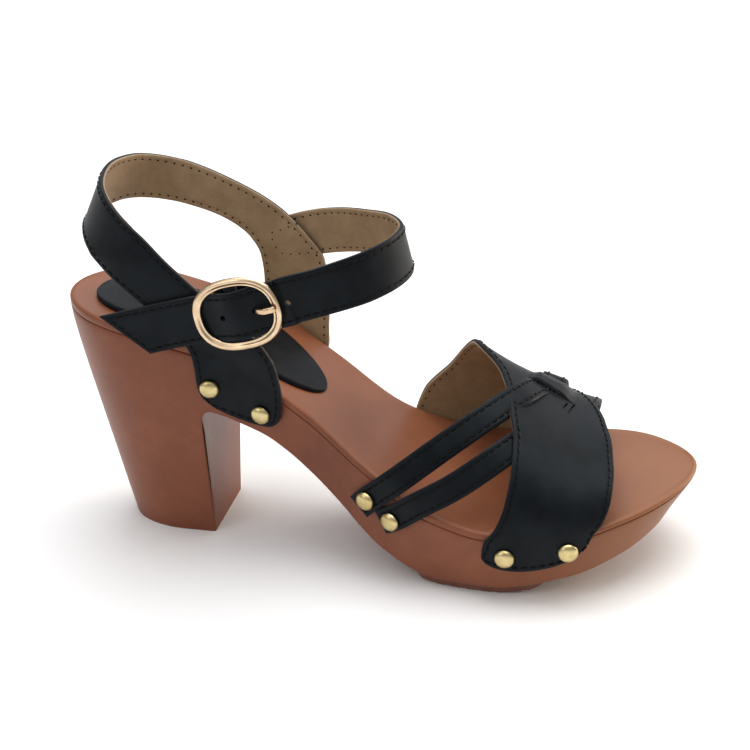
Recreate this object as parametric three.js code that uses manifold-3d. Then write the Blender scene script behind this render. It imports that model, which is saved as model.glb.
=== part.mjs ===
// A heeled platform sandal for the right foot: a moulded wood-look bottom, leather straps nailed to its
// sides, and an ankle strap closed by a centre-bar buckle. Millimetres, +Z up, toe towards +X, outer
// side towards -Y. The shoe stands on its heel and on the tread pad under the forefoot.

import * as THREE from 'three';
import { mergeVertices } from 'three/addons/utils/BufferGeometryUtils.js';
import Module from 'manifold-3d';

// Driving dimensions of the last and the bottom
const LENGTH = 238.2;
const BALL_WIDTH = 88;
const SEAT_HEIGHT = 94;
const HEEL_ROUND = 30;
const TOE_ROUND = 46;
const BREAST = 56;
const HEEL_TIP_REAR = 18.5;
const HEEL_TIP_WIDTH = 36.4;
const HEEL_TIP_ROUND = 26;
const HEEL_TIP_CENTRE = 1.8;
const BREAST_FILLET = 4;
const EDGE_ROUND = 1.6;
const DISH = 1.2;

// Driving dimensions of the tread, the sock and the leather
const TONGUE_THICK = 1.0;
const PAD_THICK = 2.7;
const RIB_PITCH = 6;
const RIB_DEPTH = 1.0;
const SOCK_THICK = 1.6;
const LEATHER = 2.0;
const CLEARANCE = 0.3;
const SEAM = 0.5;
const INSTEP_HEIGHT = 47.5;
const BACK_REACH = 30;
const BACK_HALF = 30.5;
const CROSS_STRAP_WIDTH = 10;
const ANKLE_STRAP_WIDTH = 18;
const ANKLE_STRAP_THICK = 1.9;
const ANKLE_STRAP_LEAN = THREE.MathUtils.degToRad(13);
const BRIDGE_RISE = 2.5;

// Driving dimensions of the buckle and the nails
const BUCKLE_LENGTH = 32.8;
const BUCKLE_HEIGHT = 27;
const WIRE_WIDTH = 3.0;
const WIRE_THICK = 2.2;
const BAR_WIDTH = 2.4;
const BAR_THICK = 1.2;
const PRONG_DIAMETER = 2.2;
const LOOP_THICK = 0.8;
const LOOP_LENGTH = 12;
const BUCKLE_TILT = THREE.MathUtils.degToRad(15);
const NAIL_DIAMETER = 7.3;
const NAIL_HEIGHT = 2.1;
const HOLE_DIAMETER = 2.2;
const HOLE_PITCH = 12;

// The footbed's outline and height: shares of the length, the ball width and the seat height
const FOOTBED = [
  { at: 0.0, centre: 0.006, outer: 0.3125, inner: 0.3125, top: 1.0 },
  { at: 0.0705, centre: 0.002, outer: 0.33, inner: 0.325, top: 0.985 },
  { at: 0.1612, centre: -0.003, outer: 0.333, inner: 0.332, top: 0.939 },
  { at: 0.2821, centre: 0.006, outer: 0.314, inner: 0.323, top: 0.84 },
  { at: 0.403, centre: 0.009, outer: 0.341, inner: 0.289, top: 0.654 },
  { at: 0.5038, centre: 0.011, outer: 0.416, inner: 0.275, top: 0.47 },
  { at: 0.6045, centre: 0.017, outer: 0.511, inner: 0.368, top: 0.336 },
  { at: 0.7053, centre: 0.028, outer: 0.552, inner: 0.432, top: 0.285 },
  { at: 0.806, centre: 0.045, outer: 0.561, inner: 0.439, top: 0.298 },
  { at: 0.9068, centre: 0.068, outer: 0.507, inner: 0.416, top: 0.332 },
  { at: 1.0, centre: 0.077, outer: 0.409, inner: 0.352, top: 0.362 },
];

// The underside's rise over the tread pad: shares of the length and the seat height
const UNDERSIDE = [
  { at: 0.2348, rise: 0.574 },
  { at: 0.3023, rise: 0.507 },
  { at: 0.3395, rise: 0.468 },
  { at: 0.3778, rise: 0.405 },
  { at: 0.4071, rise: 0.344 },
  { at: 0.4383, rise: 0.275 },
  { at: 0.4705, rise: 0.2 },
  { at: 0.4987, rise: 0.13 },
  { at: 0.5239, rise: 0.079 },
  { at: 0.5542, rise: 0.0426 },
  { at: 0.5874, rise: 0.015 },
  { at: 0.6247, rise: 0.0 },
  { at: 0.7053, rise: 0.0 },
  { at: 0.7657, rise: 0.025 },
  { at: 0.806, rise: 0.0575 },
  { at: 0.8564, rise: 0.09 },
  { at: 0.9068, rise: 0.131 },
  { at: 0.9572, rise: 0.1755 },
  { at: 1.0, rise: 0.223 },
];

// How far the side wall leans in by its foot, and how high it stays upright first
const WALL = [
  { at: 0.2348, draft: 0.044, knee: 0.106 },
  { at: 0.3023, draft: 0.036, knee: 0.106 },
  { at: 0.5038, draft: 0.034, knee: 0.106 },
  { at: 0.6247, draft: 0.026, knee: 0.106 },
  { at: 0.7254, draft: 0.024, knee: 0.106 },
  { at: 0.806, draft: 0.027, knee: 0.09 },
  { at: 0.9068, draft: 0.032, knee: 0.06 },
  { at: 0.9572, draft: 0.055, knee: 0.04 },
  { at: 1.0, draft: 0.11, knee: 0.02 },
];

// The rounded lip of the wall's top edge and the parting groove below it, in millimetres
const LIP = [
  { depth: 0.0, inset: 1.5 },
  { depth: 0.35, inset: 0.5 },
  { depth: 1.4, inset: 0.0 },
  { depth: 3.0, inset: 0.0 },
  { depth: 3.3, inset: 0.5 },
  { depth: 3.8, inset: 0.5 },
  { depth: 4.1, inset: 0.0 },
];

// The foot over the footbed: share of the length, ridge offset by ball width, height by instep height
const RIDGE = [
  { at: 0.4534, offset: 0.023, height: 1.22 },
  { at: 0.5542, offset: 0.023, height: 1.126 },
  { at: 0.6297, offset: 0.025, height: 1.0 },
  { at: 0.6549, offset: 0.027, height: 0.933 },
  { at: 0.7053, offset: 0.031, height: 0.792 },
  { at: 0.7557, offset: 0.034, height: 0.648 },
  { at: 0.806, offset: 0.039, height: 0.51 },
  { at: 0.8564, offset: 0.043, height: 0.4 },
  { at: 0.927, offset: 0.048, height: 0.295 },
];
const FOOT_FULLNESS = 2.2;

// The vamp band's two edges from the outer side to the inner side. A turn runs from 0 degrees at the
// outer edge of the footbed to 180 at the inner edge; beyond these it counts millimetres down the wall.
const VAMP = [
  { rear: 0.6922, rearTurn: -8, front: 0.8443, frontTurn: -2.5, bulge: -8 },
  { rear: 0.6952, rearTurn: -2.8, front: 0.8554, frontTurn: 0.5, bulge: -1 },
  { rear: 0.7103, rearTurn: 3, front: 0.8645, frontTurn: 6, bulge: 0 },
  { rear: 0.7244, rearTurn: 18, front: 0.8756, frontTurn: 24, bulge: 0 },
  { rear: 0.729, rearTurn: 37, front: 0.8776, frontTurn: 42, bulge: 0 },
  { rear: 0.7254, rearTurn: 54, front: 0.8736, frontTurn: 60, bulge: 0 },
  { rear: 0.7144, rearTurn: 68, front: 0.8675, frontTurn: 75, bulge: 0 },
  { rear: 0.7023, rearTurn: 82, front: 0.8534, frontTurn: 90, bulge: 0 },
  { rear: 0.6771, rearTurn: 96, front: 0.8343, frontTurn: 106, bulge: 0 },
  { rear: 0.6448, rearTurn: 108, front: 0.8111, frontTurn: 122, bulge: 0 },
  { rear: 0.6227, rearTurn: 130, front: 0.7839, frontTurn: 140, bulge: 0 },
  { rear: 0.5924, rearTurn: 153, front: 0.7486, frontTurn: 160, bulge: 0 },
  { rear: 0.5501, rearTurn: 172, front: 0.7174, frontTurn: 176, bulge: 0 },
  { rear: 0.534, rearTurn: 184, front: 0.7053, frontTurn: 183, bulge: 1 },
  { rear: 0.531, rearTurn: 190, front: 0.6952, frontTurn: 188, bulge: 7 },
];

// The slits in the band that the rear cross strap passes through, and the bridge between them
const SLITS = { start: 0.7255, end: 0.803, first: 94, second: 121 };

// Centre lines of the two narrow cross straps on the foot's surface, with their lift off it
const REAR_CROSS_STRAP = [
  { at: 0.4952, turn: -18, lift: 1.3 },
  { at: 0.5108, turn: -11.4, lift: 1.3 },
  { at: 0.531, turn: -3.6, lift: 1.3 },
  { at: 0.5501, turn: 2.4, lift: 1.3 },
  { at: 0.5703, turn: 8.9, lift: -0.3 },
  { at: 0.5889, turn: 16.3, lift: -3.7 },
  { at: 0.6317, turn: 35.7, lift: -6.7 },
  { at: 0.6741, turn: 56.3, lift: -3.0 },
  { at: 0.7154, turn: 74, lift: 3.0 },
  { at: 0.7335, turn: 84, lift: 3.1 },
  { at: 0.7466, turn: 94, lift: 2.6 },
  { at: 0.7557, turn: 106, lift: 1.9 },
  { at: 0.7627, turn: 120, lift: 2.6 },
  { at: 0.7637, turn: 134, lift: 3.0 },
  { at: 0.7627, turn: 150, lift: 2.6 },
  { at: 0.7587, turn: 166, lift: 1.6 },
  { at: 0.7537, turn: 180, lift: 1.3 },
  { at: 0.7486, turn: 189, lift: 1.3 },
  { at: 0.7446, turn: 196, lift: 1.3 },
];
const FRONT_CROSS_STRAP = [
  { at: 0.532, turn: -16.3, lift: 1.3 },
  { at: 0.5521, turn: -11.1, lift: 1.3 },
  { at: 0.5753, turn: -2.7, lift: 1.3 },
  { at: 0.5975, turn: 3.3, lift: 1.3 },
  { at: 0.6237, turn: 9.1, lift: -0.3 },
  { at: 0.6504, turn: 16.9, lift: -0.9 },
  { at: 0.6902, turn: 33.3, lift: -0.8 },
  { at: 0.7199, turn: 46.8, lift: 0.1 },
  { at: 0.7506, turn: 62, lift: 0.2 },
  { at: 0.7819, turn: 82, lift: 0.2 },
  { at: 0.806, turn: 100, lift: 0.2 },
  { at: 0.8181, turn: 118, lift: 0.8 },
  { at: 0.8191, turn: 138, lift: 1.3 },
  { at: 0.8151, turn: 158, lift: 1.3 },
  { at: 0.8081, turn: 178, lift: 1.3 },
  { at: 0.803, turn: 188, lift: 1.3 },
  { at: 0.799, turn: 194, lift: 1.3 },
];

// The heel strap's two edges: a turn of 90 degrees each way goes round the heel, outer side negative,
// and beyond that the strap runs straight along the side. Heights are shares of the seat height.
const HEEL_STRAP = [
  { fore: -171, high: 0.59, aft: -123.5, low: 0.66, bulge: -0.035 },
  { fore: -173.5, high: 0.7, aft: -120, low: 0.723, bulge: 0 },
  { fore: -171, high: 0.83, aft: -119, low: 0.83, bulge: 0 },
  { fore: -161.5, high: 0.939, aft: -113, low: 0.931, bulge: 0 },
  { fore: -135, high: 1.085, aft: -96, low: 1.047, bulge: 0 },
  { fore: -109, high: 1.238, aft: -74.4, low: 1.146, bulge: 0 },
  { fore: -85, high: 1.381, aft: -50, low: 1.234, bulge: 0 },
  { fore: -50, high: 1.473, aft: -24, low: 1.276, bulge: 0 },
  { fore: 0, high: 1.514, aft: 2, low: 1.289, bulge: 0 },
  { fore: 45, high: 1.504, aft: 38, low: 1.306, bulge: 0 },
  { fore: 90, high: 1.447, aft: 81, low: 1.266, bulge: 0 },
  { fore: 120, high: 1.372, aft: 112, low: 1.207, bulge: 0 },
  { fore: 146, high: 1.277, aft: 129.5, low: 1.128, bulge: 0 },
  { fore: 166, high: 1.154, aft: 136, low: 1.048, bulge: 0 },
  { fore: 178, high: 1.032, aft: 137.5, low: 0.952, bulge: 0 },
  { fore: 180, high: 0.851, aft: 137.3, low: 0.83, bulge: 0 },
  { fore: 180, high: 0.702, aft: 136, low: 0.734, bulge: 0 },
  { fore: 177, high: 0.606, aft: 139, low: 0.67, bulge: -0.035 },
];

// The ankle strap's centre line from the inner quarter round the front to its free tail
const ANKLE_STRAP = [
  { at: 0.2771, side: 0.378, high: 1.075 },
  { at: 0.3526, side: 0.386, high: 1.138 },
  { at: 0.4071, side: 0.346, high: 1.175 },
  { at: 0.4665, side: 0.25, high: 1.21 },
  { at: 0.5159, side: 0.137, high: 1.234 },
  { at: 0.544, side: 0.0, high: 1.236 },
  { at: 0.538, side: -0.13, high: 1.225 },
  { at: 0.5038, side: -0.27, high: 1.205 },
  { at: 0.4433, side: -0.367, high: 1.17 },
  { at: 0.397, side: -0.394, high: 1.138 },
];

// Places of the nails: on the foot's surface and on the heel strap's surface
const FOOT_NAILS = [
  { at: 0.5108, turn: -11.4, lift: LEATHER + CLEARANCE },
  { at: 0.5521, turn: -11.1, lift: LEATHER + CLEARANCE },
  { at: 0.7275, turn: -7.7, lift: LEATHER + CLEARANCE },
  { at: 0.8191, turn: -5, lift: LEATHER + CLEARANCE },
  { at: 0.5743, turn: 189.5, lift: LEATHER + CLEARANCE },
  { at: 0.6599, turn: 188.5, lift: LEATHER + CLEARANCE },
  { at: 0.7486, turn: 189, lift: LEATHER + CLEARANCE },
  { at: 0.803, turn: 188, lift: LEATHER + CLEARANCE },
];
const HEEL_NAILS = [
  { turn: -128, high: 0.724 },
  { turn: -160, high: 0.629 },
  { turn: 146, high: 0.724 },
  { turn: 171, high: 0.67 },
];

const UP = new THREE.Vector3(0, 0, 1);
const wasm = await Module();
wasm.setup();

// Smooth column of a table, without overshoot between its rows
function column(table, name, at) {
  const last = table.length - 1;
  let i = 0;
  while (i < last - 1 && at > table[i + 1].at) {
    i += 1;
  }
  const secant = (k) => (table[k + 1][name] - table[k][name]) / (table[k + 1].at - table[k].at);
  const slope = (k) => {
    if (k === 0 || k === last) {
      return secant(Math.min(k, last - 1));
    }
    const before = secant(k - 1);
    const after = secant(k);
    return before * after <= 0 ? 0 : (2 * before * after) / (before + after);
  };
  const step = table[i + 1].at - table[i].at;
  const t = THREE.MathUtils.clamp((at - table[i].at) / step, 0, 1);
  const a = table[i][name];
  const b = table[i + 1][name];
  const h = t * t * (3 - 2 * t);
  return a + (b - a) * h + step * (slope(i) * t * (1 - t) ** 2 - slope(i + 1) * t * t * (1 - t));
}

// A table without an own place column gets evenly spaced rows
function spaced(table) {
  return table.map((row, i) => ({ ...row, at: i / (table.length - 1) }));
}

function smoothstep(from, to, value) {
  return THREE.MathUtils.smoothstep(value, from, to);
}

function range(count) {
  return Array.from({ length: count + 1 }, (_, i) => i / count);
}

// One closed body from a run of closed loops; each loop pairs its points i and (n - 1 - i) at the caps
function skin(loops, { capped = true, ring = false } = {}) {
  const size = loops[0].length;
  const vertices = loops.flat().flatMap((p) => [p.x, p.y, p.z]);
  const index = [];
  const quad = (a, b, c, d) => index.push(a, b, c, a, c, d);
  const runs = ring ? loops.length : loops.length - 1;
  for (let i = 0; i < runs; i += 1) {
    const here = i * size;
    const next = ((i + 1) % loops.length) * size;
    for (let j = 0; j < size; j += 1) {
      const k = (j + 1) % size;
      quad(here + j, next + j, next + k, here + k);
    }
  }
  if (capped && !ring) {
    const end = (loops.length - 1) * size;
    for (let j = 0; j < size / 2 - 1; j += 1) {
      quad(j, j + 1, size - 2 - j, size - 1 - j);
      quad(end + j + 1, end + j, end + size - 1 - j, end + size - 2 - j);
    }
  }
  return closedBody(vertices, index);
}

// Merges shared corners, drops empty triangles and turns every face outwards
function closedBody(vertices, index) {
  const geometry = new THREE.BufferGeometry();
  geometry.setAttribute('position', new THREE.Float32BufferAttribute(vertices, 3));
  geometry.setIndex(index);
  const merged = mergeVertices(geometry, 1e-4);
  const from = merged.index.array;
  const kept = [];
  for (let i = 0; i < from.length; i += 3) {
    const [a, b, c] = from.slice(i, i + 3);
    if (a !== b && b !== c && a !== c) {
      kept.push(a, b, c);
    }
  }
  const p = merged.getAttribute('position');
  const corner = (i) => new THREE.Vector3().fromBufferAttribute(p, i);
  let volume = 0;
  for (let i = 0; i < kept.length; i += 3) {
    volume += corner(kept[i]).dot(corner(kept[i + 1]).cross(corner(kept[i + 2])));
  }
  if (volume < 0) {
    kept.reverse();
  }
  merged.setIndex(kept);
  return merged;
}

function toManifold(geometry) {
  const plain = geometry.clone();
  plain.deleteAttribute('normal');
  plain.deleteAttribute('uv');
  const merged = mergeVertices(plain, 1e-4);
  const mesh = new wasm.Mesh({
    numProp: 3,
    vertProperties: new Float32Array(merged.getAttribute('position').array),
    triVerts: new Uint32Array(merged.index.array),
  });
  return new wasm.Manifold(mesh);
}

function fromManifold(solid) {
  const mesh = solid.getMesh();
  const geometry = new THREE.BufferGeometry();
  geometry.setAttribute('position', new THREE.BufferAttribute(mesh.vertProperties.slice(), 3));
  geometry.setIndex(new THREE.BufferAttribute(mesh.triVerts.slice(), 1));
  return geometry;
}

// Footbed outline, side -1 for the outer side and +1 for the inner side
function endRounding(x) {
  const heel = x < HEEL_ROUND ? Math.sqrt(Math.max(0, 1 - ((HEEL_ROUND - x) / HEEL_ROUND) ** 2)) : 1;
  const start = LENGTH - TOE_ROUND;
  const toe = x > start ? Math.sqrt(Math.max(0, 1 - ((x - start) / TOE_ROUND) ** 2)) : 1;
  return heel * toe;
}

function footbedEdge(side, x) {
  const half = column(FOOTBED, side < 0 ? 'outer' : 'inner', x / LENGTH) * endRounding(x);
  return BALL_WIDTH * (column(FOOTBED, 'centre', x / LENGTH) + side * half);
}

function footbedTop(x) {
  return SEAT_HEIGHT * column(FOOTBED, 'top', x / LENGTH);
}

function dish(x, y) {
  const outer = footbedEdge(-1, x);
  const inner = footbedEdge(1, x);
  const share = THREE.MathUtils.clamp((y - outer) / Math.max(inner - outer, 1e-6), 0, 1);
  const width = Math.min(1, (inner - outer) / (BALL_WIDTH / 2));
  return DISH * width * (1 - (2 * share - 1) ** 4);
}

function underside(x) {
  const rise = column(UNDERSIDE, 'rise', x / LENGTH);
  const into = THREE.MathUtils.clamp((x - BREAST) / BREAST_FILLET, 0, 1);
  const fillet = BREAST_FILLET * (1 - Math.sqrt(1 - (1 - into) ** 2));
  return PAD_THICK + SEAM + SEAT_HEIGHT * rise - fillet;
}

function inwardNormal(side, x) {
  const round = endRounding(x);
  if (round === 0) {
    return new THREE.Vector3(x < LENGTH / 2 ? 1 : -1, 0, 0);
  }
  const step = 0.02;
  const from = Math.max(0, x - step);
  const to = Math.min(LENGTH, x + step);
  const slope = (footbedEdge(side, to) - footbedEdge(side, from)) / (to - from);
  return new THREE.Vector3(side * slope, -side, 0).normalize();
}

// Share of a wall's lean reached at a depth: upright at first, then straight
function lean(depth, height, knee) {
  return (Math.hypot(depth, knee) - knee) / (Math.hypot(height, knee) - knee);
}

const SLAB_HEIGHT = footbedTop(BREAST) - underside(BREAST);
const HEEL_KNEE = 10;

function heelTip(side, x) {
  const round = Math.min(x / HEEL_ROUND, 1);
  const turn = Math.acos(1 - round);
  const straight = Math.max(0, x - HEEL_ROUND) / (BREAST - HEEL_ROUND);
  const depth = BREAST - HEEL_TIP_REAR - HEEL_TIP_ROUND;
  return new THREE.Vector3(
    HEEL_TIP_REAR + HEEL_TIP_ROUND * (1 - Math.cos(turn)) + depth * straight,
    HEEL_TIP_CENTRE + (side * Math.sin(turn) * HEEL_TIP_WIDTH) / 2,
    0,
  );
}

// How far the arch's and forefoot's wall leans in at a depth under the footbed's edge
function wallHeight(side, x) {
  const draft = BALL_WIDTH * column(WALL, 'draft', x / LENGTH) + EDGE_ROUND;
  return footbedTop(x) - underside(x + inwardNormal(side, x).x * draft);
}

function wallInset(side, x, depth) {
  const at = x / LENGTH;
  const draft = BALL_WIDTH * column(WALL, 'draft', at);
  return draft * lean(depth, wallHeight(side, x), SEAT_HEIGHT * column(WALL, 'knee', at));
}

// A point of the side wall below the footbed's edge
function wallPoint(side, x, depth) {
  const edge = new THREE.Vector3(x, footbedEdge(side, x), footbedTop(x));
  const arch = edge.clone().addScaledVector(inwardNormal(side, x), wallInset(side, x, depth));
  const heel = edge.clone().lerp(heelTip(side, Math.min(x, BREAST)), lean(depth, edge.z, HEEL_KNEE));
  if (x > BREAST) {
    heel.x = x;
  }
  const point = heel.lerp(arch, smoothstep(BREAST, BREAST + 20, x));
  point.z = edge.z - depth;
  return point;
}

// The station's places are closer where the heel and the toe turn
const STATIONS = [
  ...range(8).map((q) => HEEL_ROUND * (1 - Math.cos((q * Math.PI) / 2))),
  ...range(4).slice(1).map((q) => HEEL_ROUND + (BREAST - HEEL_ROUND) * q),
];
const ARCH_STATIONS = [
  ...[0.15, 0.5, 1].map((q) => BREAST + BREAST_FILLET * q),
  ...range(17).slice(1).map((q) => {
    const start = BREAST + BREAST_FILLET;
    return start + (LENGTH - TOE_ROUND - start) * q;
  }),
  ...range(10).slice(1).map((q) => LENGTH - TOE_ROUND * (1 - Math.sin((q * Math.PI) / 2))),
];
const WALL_SHARES = [0.25, 0.5, 0.75, 1];
const ACROSS = 6;

// One closed loop of the platform: footbed, inner wall, underside, outer wall
function platformLoop(x, reachesFloor) {
  const fillet = reachesFloor ? 0 : EDGE_ROUND * smoothstep(BREAST, BREAST + 12, x);
  const lipFoot = LIP[LIP.length - 1].depth;
  const side = (s) => {
    const height = x > BREAST ? wallHeight(s, x) : SLAB_HEIGHT;
    const inward = inwardNormal(s, x);
    const points = LIP.map((row) => wallPoint(s, x, row.depth).addScaledVector(inward, row.inset));
    const depths = WALL_SHARES.map((q) => lipFoot + (height - fillet - lipFoot) * q);
    points.push(...depths.map((depth) => wallPoint(s, x, depth)));
    const foot = wallPoint(s, x, height).addScaledVector(inward, fillet);
    points.push(reachesFloor ? heelTip(s, x) : foot);
    return points;
  };
  const outer = side(-1);
  const inner = side(1);
  const top = range(ACROSS).map((q) => {
    const point = outer[0].clone().lerp(inner[0], q);
    const rim = q === 0 || q === 1;
    point.z -= rim ? 0 : dish(x, point.y);
    return point;
  });
  const bottom = range(ACROSS).map((q) => inner[inner.length - 1].clone().lerp(outer[outer.length - 1], q));
  return [...top, ...inner.slice(1, -1), ...bottom, ...outer.slice(1, -1).reverse()];
}

// The moulded platform with its block heel
function platformUnit() {
  const heel = STATIONS.map((x) => platformLoop(x, true));
  const arch = [BREAST, ...ARCH_STATIONS].map((x) => platformLoop(x, false));
  return skin([...heel, ...arch], { capped: false });
}

// The tread under the forefoot: a thin tongue, then a pad with ribs across
const TREAD = { start: 0.4997, pad: 0.5874, end: 0.823, margin: 1.0 };

function treadLoop(x, thick) {
  const end = LENGTH * TREAD.end;
  const start = LENGTH * TREAD.start;
  const rear = 1 - 0.35 * Math.max(0, 1 - (x - start) / 12) ** 2;
  const front = 1 - 0.45 * Math.max(0, 1 - (end - x) / 16) ** 2;
  const edge = (side) => {
    const inset = wallInset(side, x, wallHeight(side, x)) + EDGE_ROUND + TREAD.margin;
    const middle = BALL_WIDTH * column(FOOTBED, 'centre', x / LENGTH);
    return middle + (footbedEdge(side, x) - side * inset - middle) * Math.min(rear, front);
  };
  const top = underside(x) - SEAM;
  const places = range(4).map((q) => THREE.MathUtils.lerp(edge(-1), edge(1), q));
  const upper = places.map((y) => new THREE.Vector3(x, y, top));
  const lower = places.map((y) => new THREE.Vector3(x, y, top - thick)).reverse();
  return [...upper, ...lower];
}

function forepartOutsole() {
  const start = LENGTH * TREAD.start;
  const pad = LENGTH * TREAD.pad;
  const end = LENGTH * TREAD.end;
  const loops = range(6).map((q) => treadLoop(start + (pad - start) * q, TONGUE_THICK));
  const ribs = Math.floor((end - pad - 1.5) / RIB_PITCH);
  const land = RIB_PITCH * 0.62;
  const pitch = (end - pad - 1.5 - land) / ribs;
  for (let i = 0; i <= ribs; i += 1) {
    const x = pad + 1.5 + pitch * i;
    loops.push(treadLoop(x, PAD_THICK), treadLoop(x + land, PAD_THICK));
    if (i < ribs) {
      loops.push(treadLoop(x + land + 0.6, PAD_THICK - RIB_DEPTH));
      loops.push(treadLoop(x + pitch - 0.6, PAD_THICK - RIB_DEPTH));
    }
  }
  return skin(loops);
}

// The heel sock on the footbed, with a round back and a narrow front
const SOCK = { start: 0.0433, end: 0.416, outer: 0.222, inner: 0.2, back: 22, front: 33, drift: -0.036 };

function sockLoop(x) {
  const start = LENGTH * SOCK.start;
  const end = LENGTH * SOCK.end;
  const back = Math.max(0, 1 - (x - start) / SOCK.back);
  const front = Math.max(0, 1 - (end - x) / SOCK.front);
  const round = Math.sqrt(Math.max(0, 1 - back ** 2)) * Math.sqrt(Math.max(0, 1 - front ** 2));
  const middle = BALL_WIDTH * SOCK.drift * front;
  const places = range(4).map((q) => {
    const reach = q < 0.5 ? SOCK.outer : SOCK.inner;
    return middle + BALL_WIDTH * reach * round * (2 * q - 1);
  });
  const height = (y, lift) => footbedTop(x) - dish(x, y) + SEAM + lift;
  const upper = places.map((y) => new THREE.Vector3(x, y, height(y, SOCK_THICK)));
  const lower = places.map((y) => new THREE.Vector3(x, y, height(y, 0))).reverse();
  return [...upper, ...lower];
}

function heelSock() {
  const start = LENGTH * SOCK.start;
  const end = LENGTH * SOCK.end;
  const places = [
    ...range(6).map((q) => start + SOCK.back * (1 - Math.cos((q * Math.PI) / 2))),
    ...range(7).slice(1).map((q) => start + SOCK.back + (end - SOCK.front - start - SOCK.back) * q),
    ...range(7).slice(1).map((q) => end - SOCK.front * (1 - Math.sin((q * Math.PI) / 2))),
  ];
  return skin(places.map(sockLoop));
}

// The foot's surface, a distance off it. The turn is explained at the VAMP table.
function onFoot(at, turn, off) {
  const x = LENGTH * at;
  const outer = footbedEdge(-1, x);
  const inner = footbedEdge(1, x);
  const top = footbedTop(x);
  if (turn < 0 || turn > 180) {
    const side = turn < 0 ? -1 : 1;
    const depth = turn < 0 ? -turn : turn - 180;
    const y = (side < 0 ? outer : inner) - side * (wallInset(side, x, depth) - off - SEAM + CLEARANCE);
    return new THREE.Vector3(x, y, top - depth);
  }
  const angle = THREE.MathUtils.degToRad(turn);
  const ridge = BALL_WIDTH * column(RIDGE, 'offset', at);
  const height = INSTEP_HEIGHT * column(RIDGE, 'height', at);
  const power = 2 / FOOT_FULLNESS;
  const side = Math.cos(angle) >= 0 ? -1 : 1;
  const half = side < 0 ? ridge - outer : inner - ridge;
  const reach = half + off + SEAM - CLEARANCE;
  const y = ridge + side * reach * Math.abs(Math.cos(angle)) ** power;
  return new THREE.Vector3(x, y, top + (height + off) * Math.abs(Math.sin(angle)) ** power);
}

function footNormal(at, turn) {
  const ahead = onFoot(at + 0.004, turn, 0).sub(onFoot(at - 0.004, turn, 0));
  const around = onFoot(at, turn + 1, 0).sub(onFoot(at, turn - 1, 0));
  return ahead.cross(around).normalize();
}

// The same surface moved out along its normal, so that a wall keeps its thickness
function offFoot(at, turn, off) {
  const point = onFoot(at, turn, CLEARANCE);
  return point.addScaledVector(footNormal(at, turn), off - CLEARANCE);
}

// A strip of leather along rows on the foot's surface
function crossStrap(table) {
  const rows = spaced(table.map(({ at, ...row }) => ({ place: at, ...row })));
  const centre = range(34).map((t) => {
    const place = column(rows, 'place', t);
    const turn = column(rows, 'turn', t);
    const out = footNormal(place, turn);
    return { point: onFoot(place, turn, column(rows, 'lift', t)), out };
  });
  const loops = centre.map(({ point, out }, i) => {
    const before = centre[Math.max(0, i - 1)].point;
    const after = centre[Math.min(centre.length - 1, i + 1)].point;
    const along = after.clone().sub(before).normalize();
    const across = along.clone().cross(out).normalize();
    const normal = across.clone().cross(along);
    const corner = (u, v) => point.clone().addScaledVector(across, (u * CROSS_STRAP_WIDTH) / 2)
      .addScaledVector(normal, (v * LEATHER) / 2);
    return [corner(-1, 1), corner(0, 1), corner(1, 1), corner(1, -1), corner(0, -1), corner(-1, -1)];
  });
  return skin(loops);
}

// Raises the part of the band between its two slits
function bridgeRise(at, turn) {
  const { start, end, first, second } = SLITS;
  const length = smoothstep(start, start + 0.03, at) * (1 - smoothstep(end - 0.03, end, at));
  const width = smoothstep(first - 2, first + 2, turn) * (1 - smoothstep(second - 2, second + 2, turn));
  return BRIDGE_RISE * length * width;
}

function vampBand() {
  const rows = spaced(VAMP);
  const grid = range(42).map((v) => {
    const row = Object.fromEntries(Object.keys(VAMP[0]).map((name) => [name, column(rows, name, v)]));
    const across = range(10).map((u) => {
      const at = THREE.MathUtils.lerp(row.rear, row.front, u);
      const turn = THREE.MathUtils.lerp(row.rearTurn, row.frontTurn, u);
      return { at, turn: turn + row.bulge * Math.sqrt(1 - (2 * u - 1) ** 2) };
    });
    const outer = across.map((p) => offFoot(p.at, p.turn, CLEARANCE + LEATHER + bridgeRise(p.at, p.turn)));
    const inner = across.map((p) => offFoot(p.at, p.turn, CLEARANCE + bridgeRise(p.at, p.turn)));
    return [...outer, ...inner.reverse()];
  });
  return skin(grid);
}

// A cutter along one slit of the band
function slitCutter(turn) {
  const width = 2.2;
  const loops = range(8).map((q) => {
    const at = THREE.MathUtils.lerp(SLITS.start, SLITS.end, q);
    const corner = (side, off) => offFoot(at, turn + side * width, off);
    return [corner(-1, 6), corner(1, 6), corner(1, -1), corner(-1, -1)];
  });
  return skin(loops);
}

// The vamp band with the two cross straps, one piece where they cross. The slits' cutters can leave
// crumbs of no size, which are dropped.
const CRUMB = 0.5;

function forefootUpper() {
  const band = toManifold(vampBand())
    .subtract(toManifold(slitCutter(SLITS.first)))
    .subtract(toManifold(slitCutter(SLITS.second)));
  const straps = toManifold(crossStrap(REAR_CROSS_STRAP)).add(toManifold(crossStrap(FRONT_CROSS_STRAP)));
  const bodies = band.add(straps).decompose().filter((body) => body.volume() > CRUMB);
  return fromManifold(bodies.reduce((sum, body) => sum.add(body)));
}

// The surface that the heel strap follows round the heel and down the walls
const STRAIGHT_STEP = 0.611;
const BACK_CENTRE = 38;
const INNER_EASE = 1.5;

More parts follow.
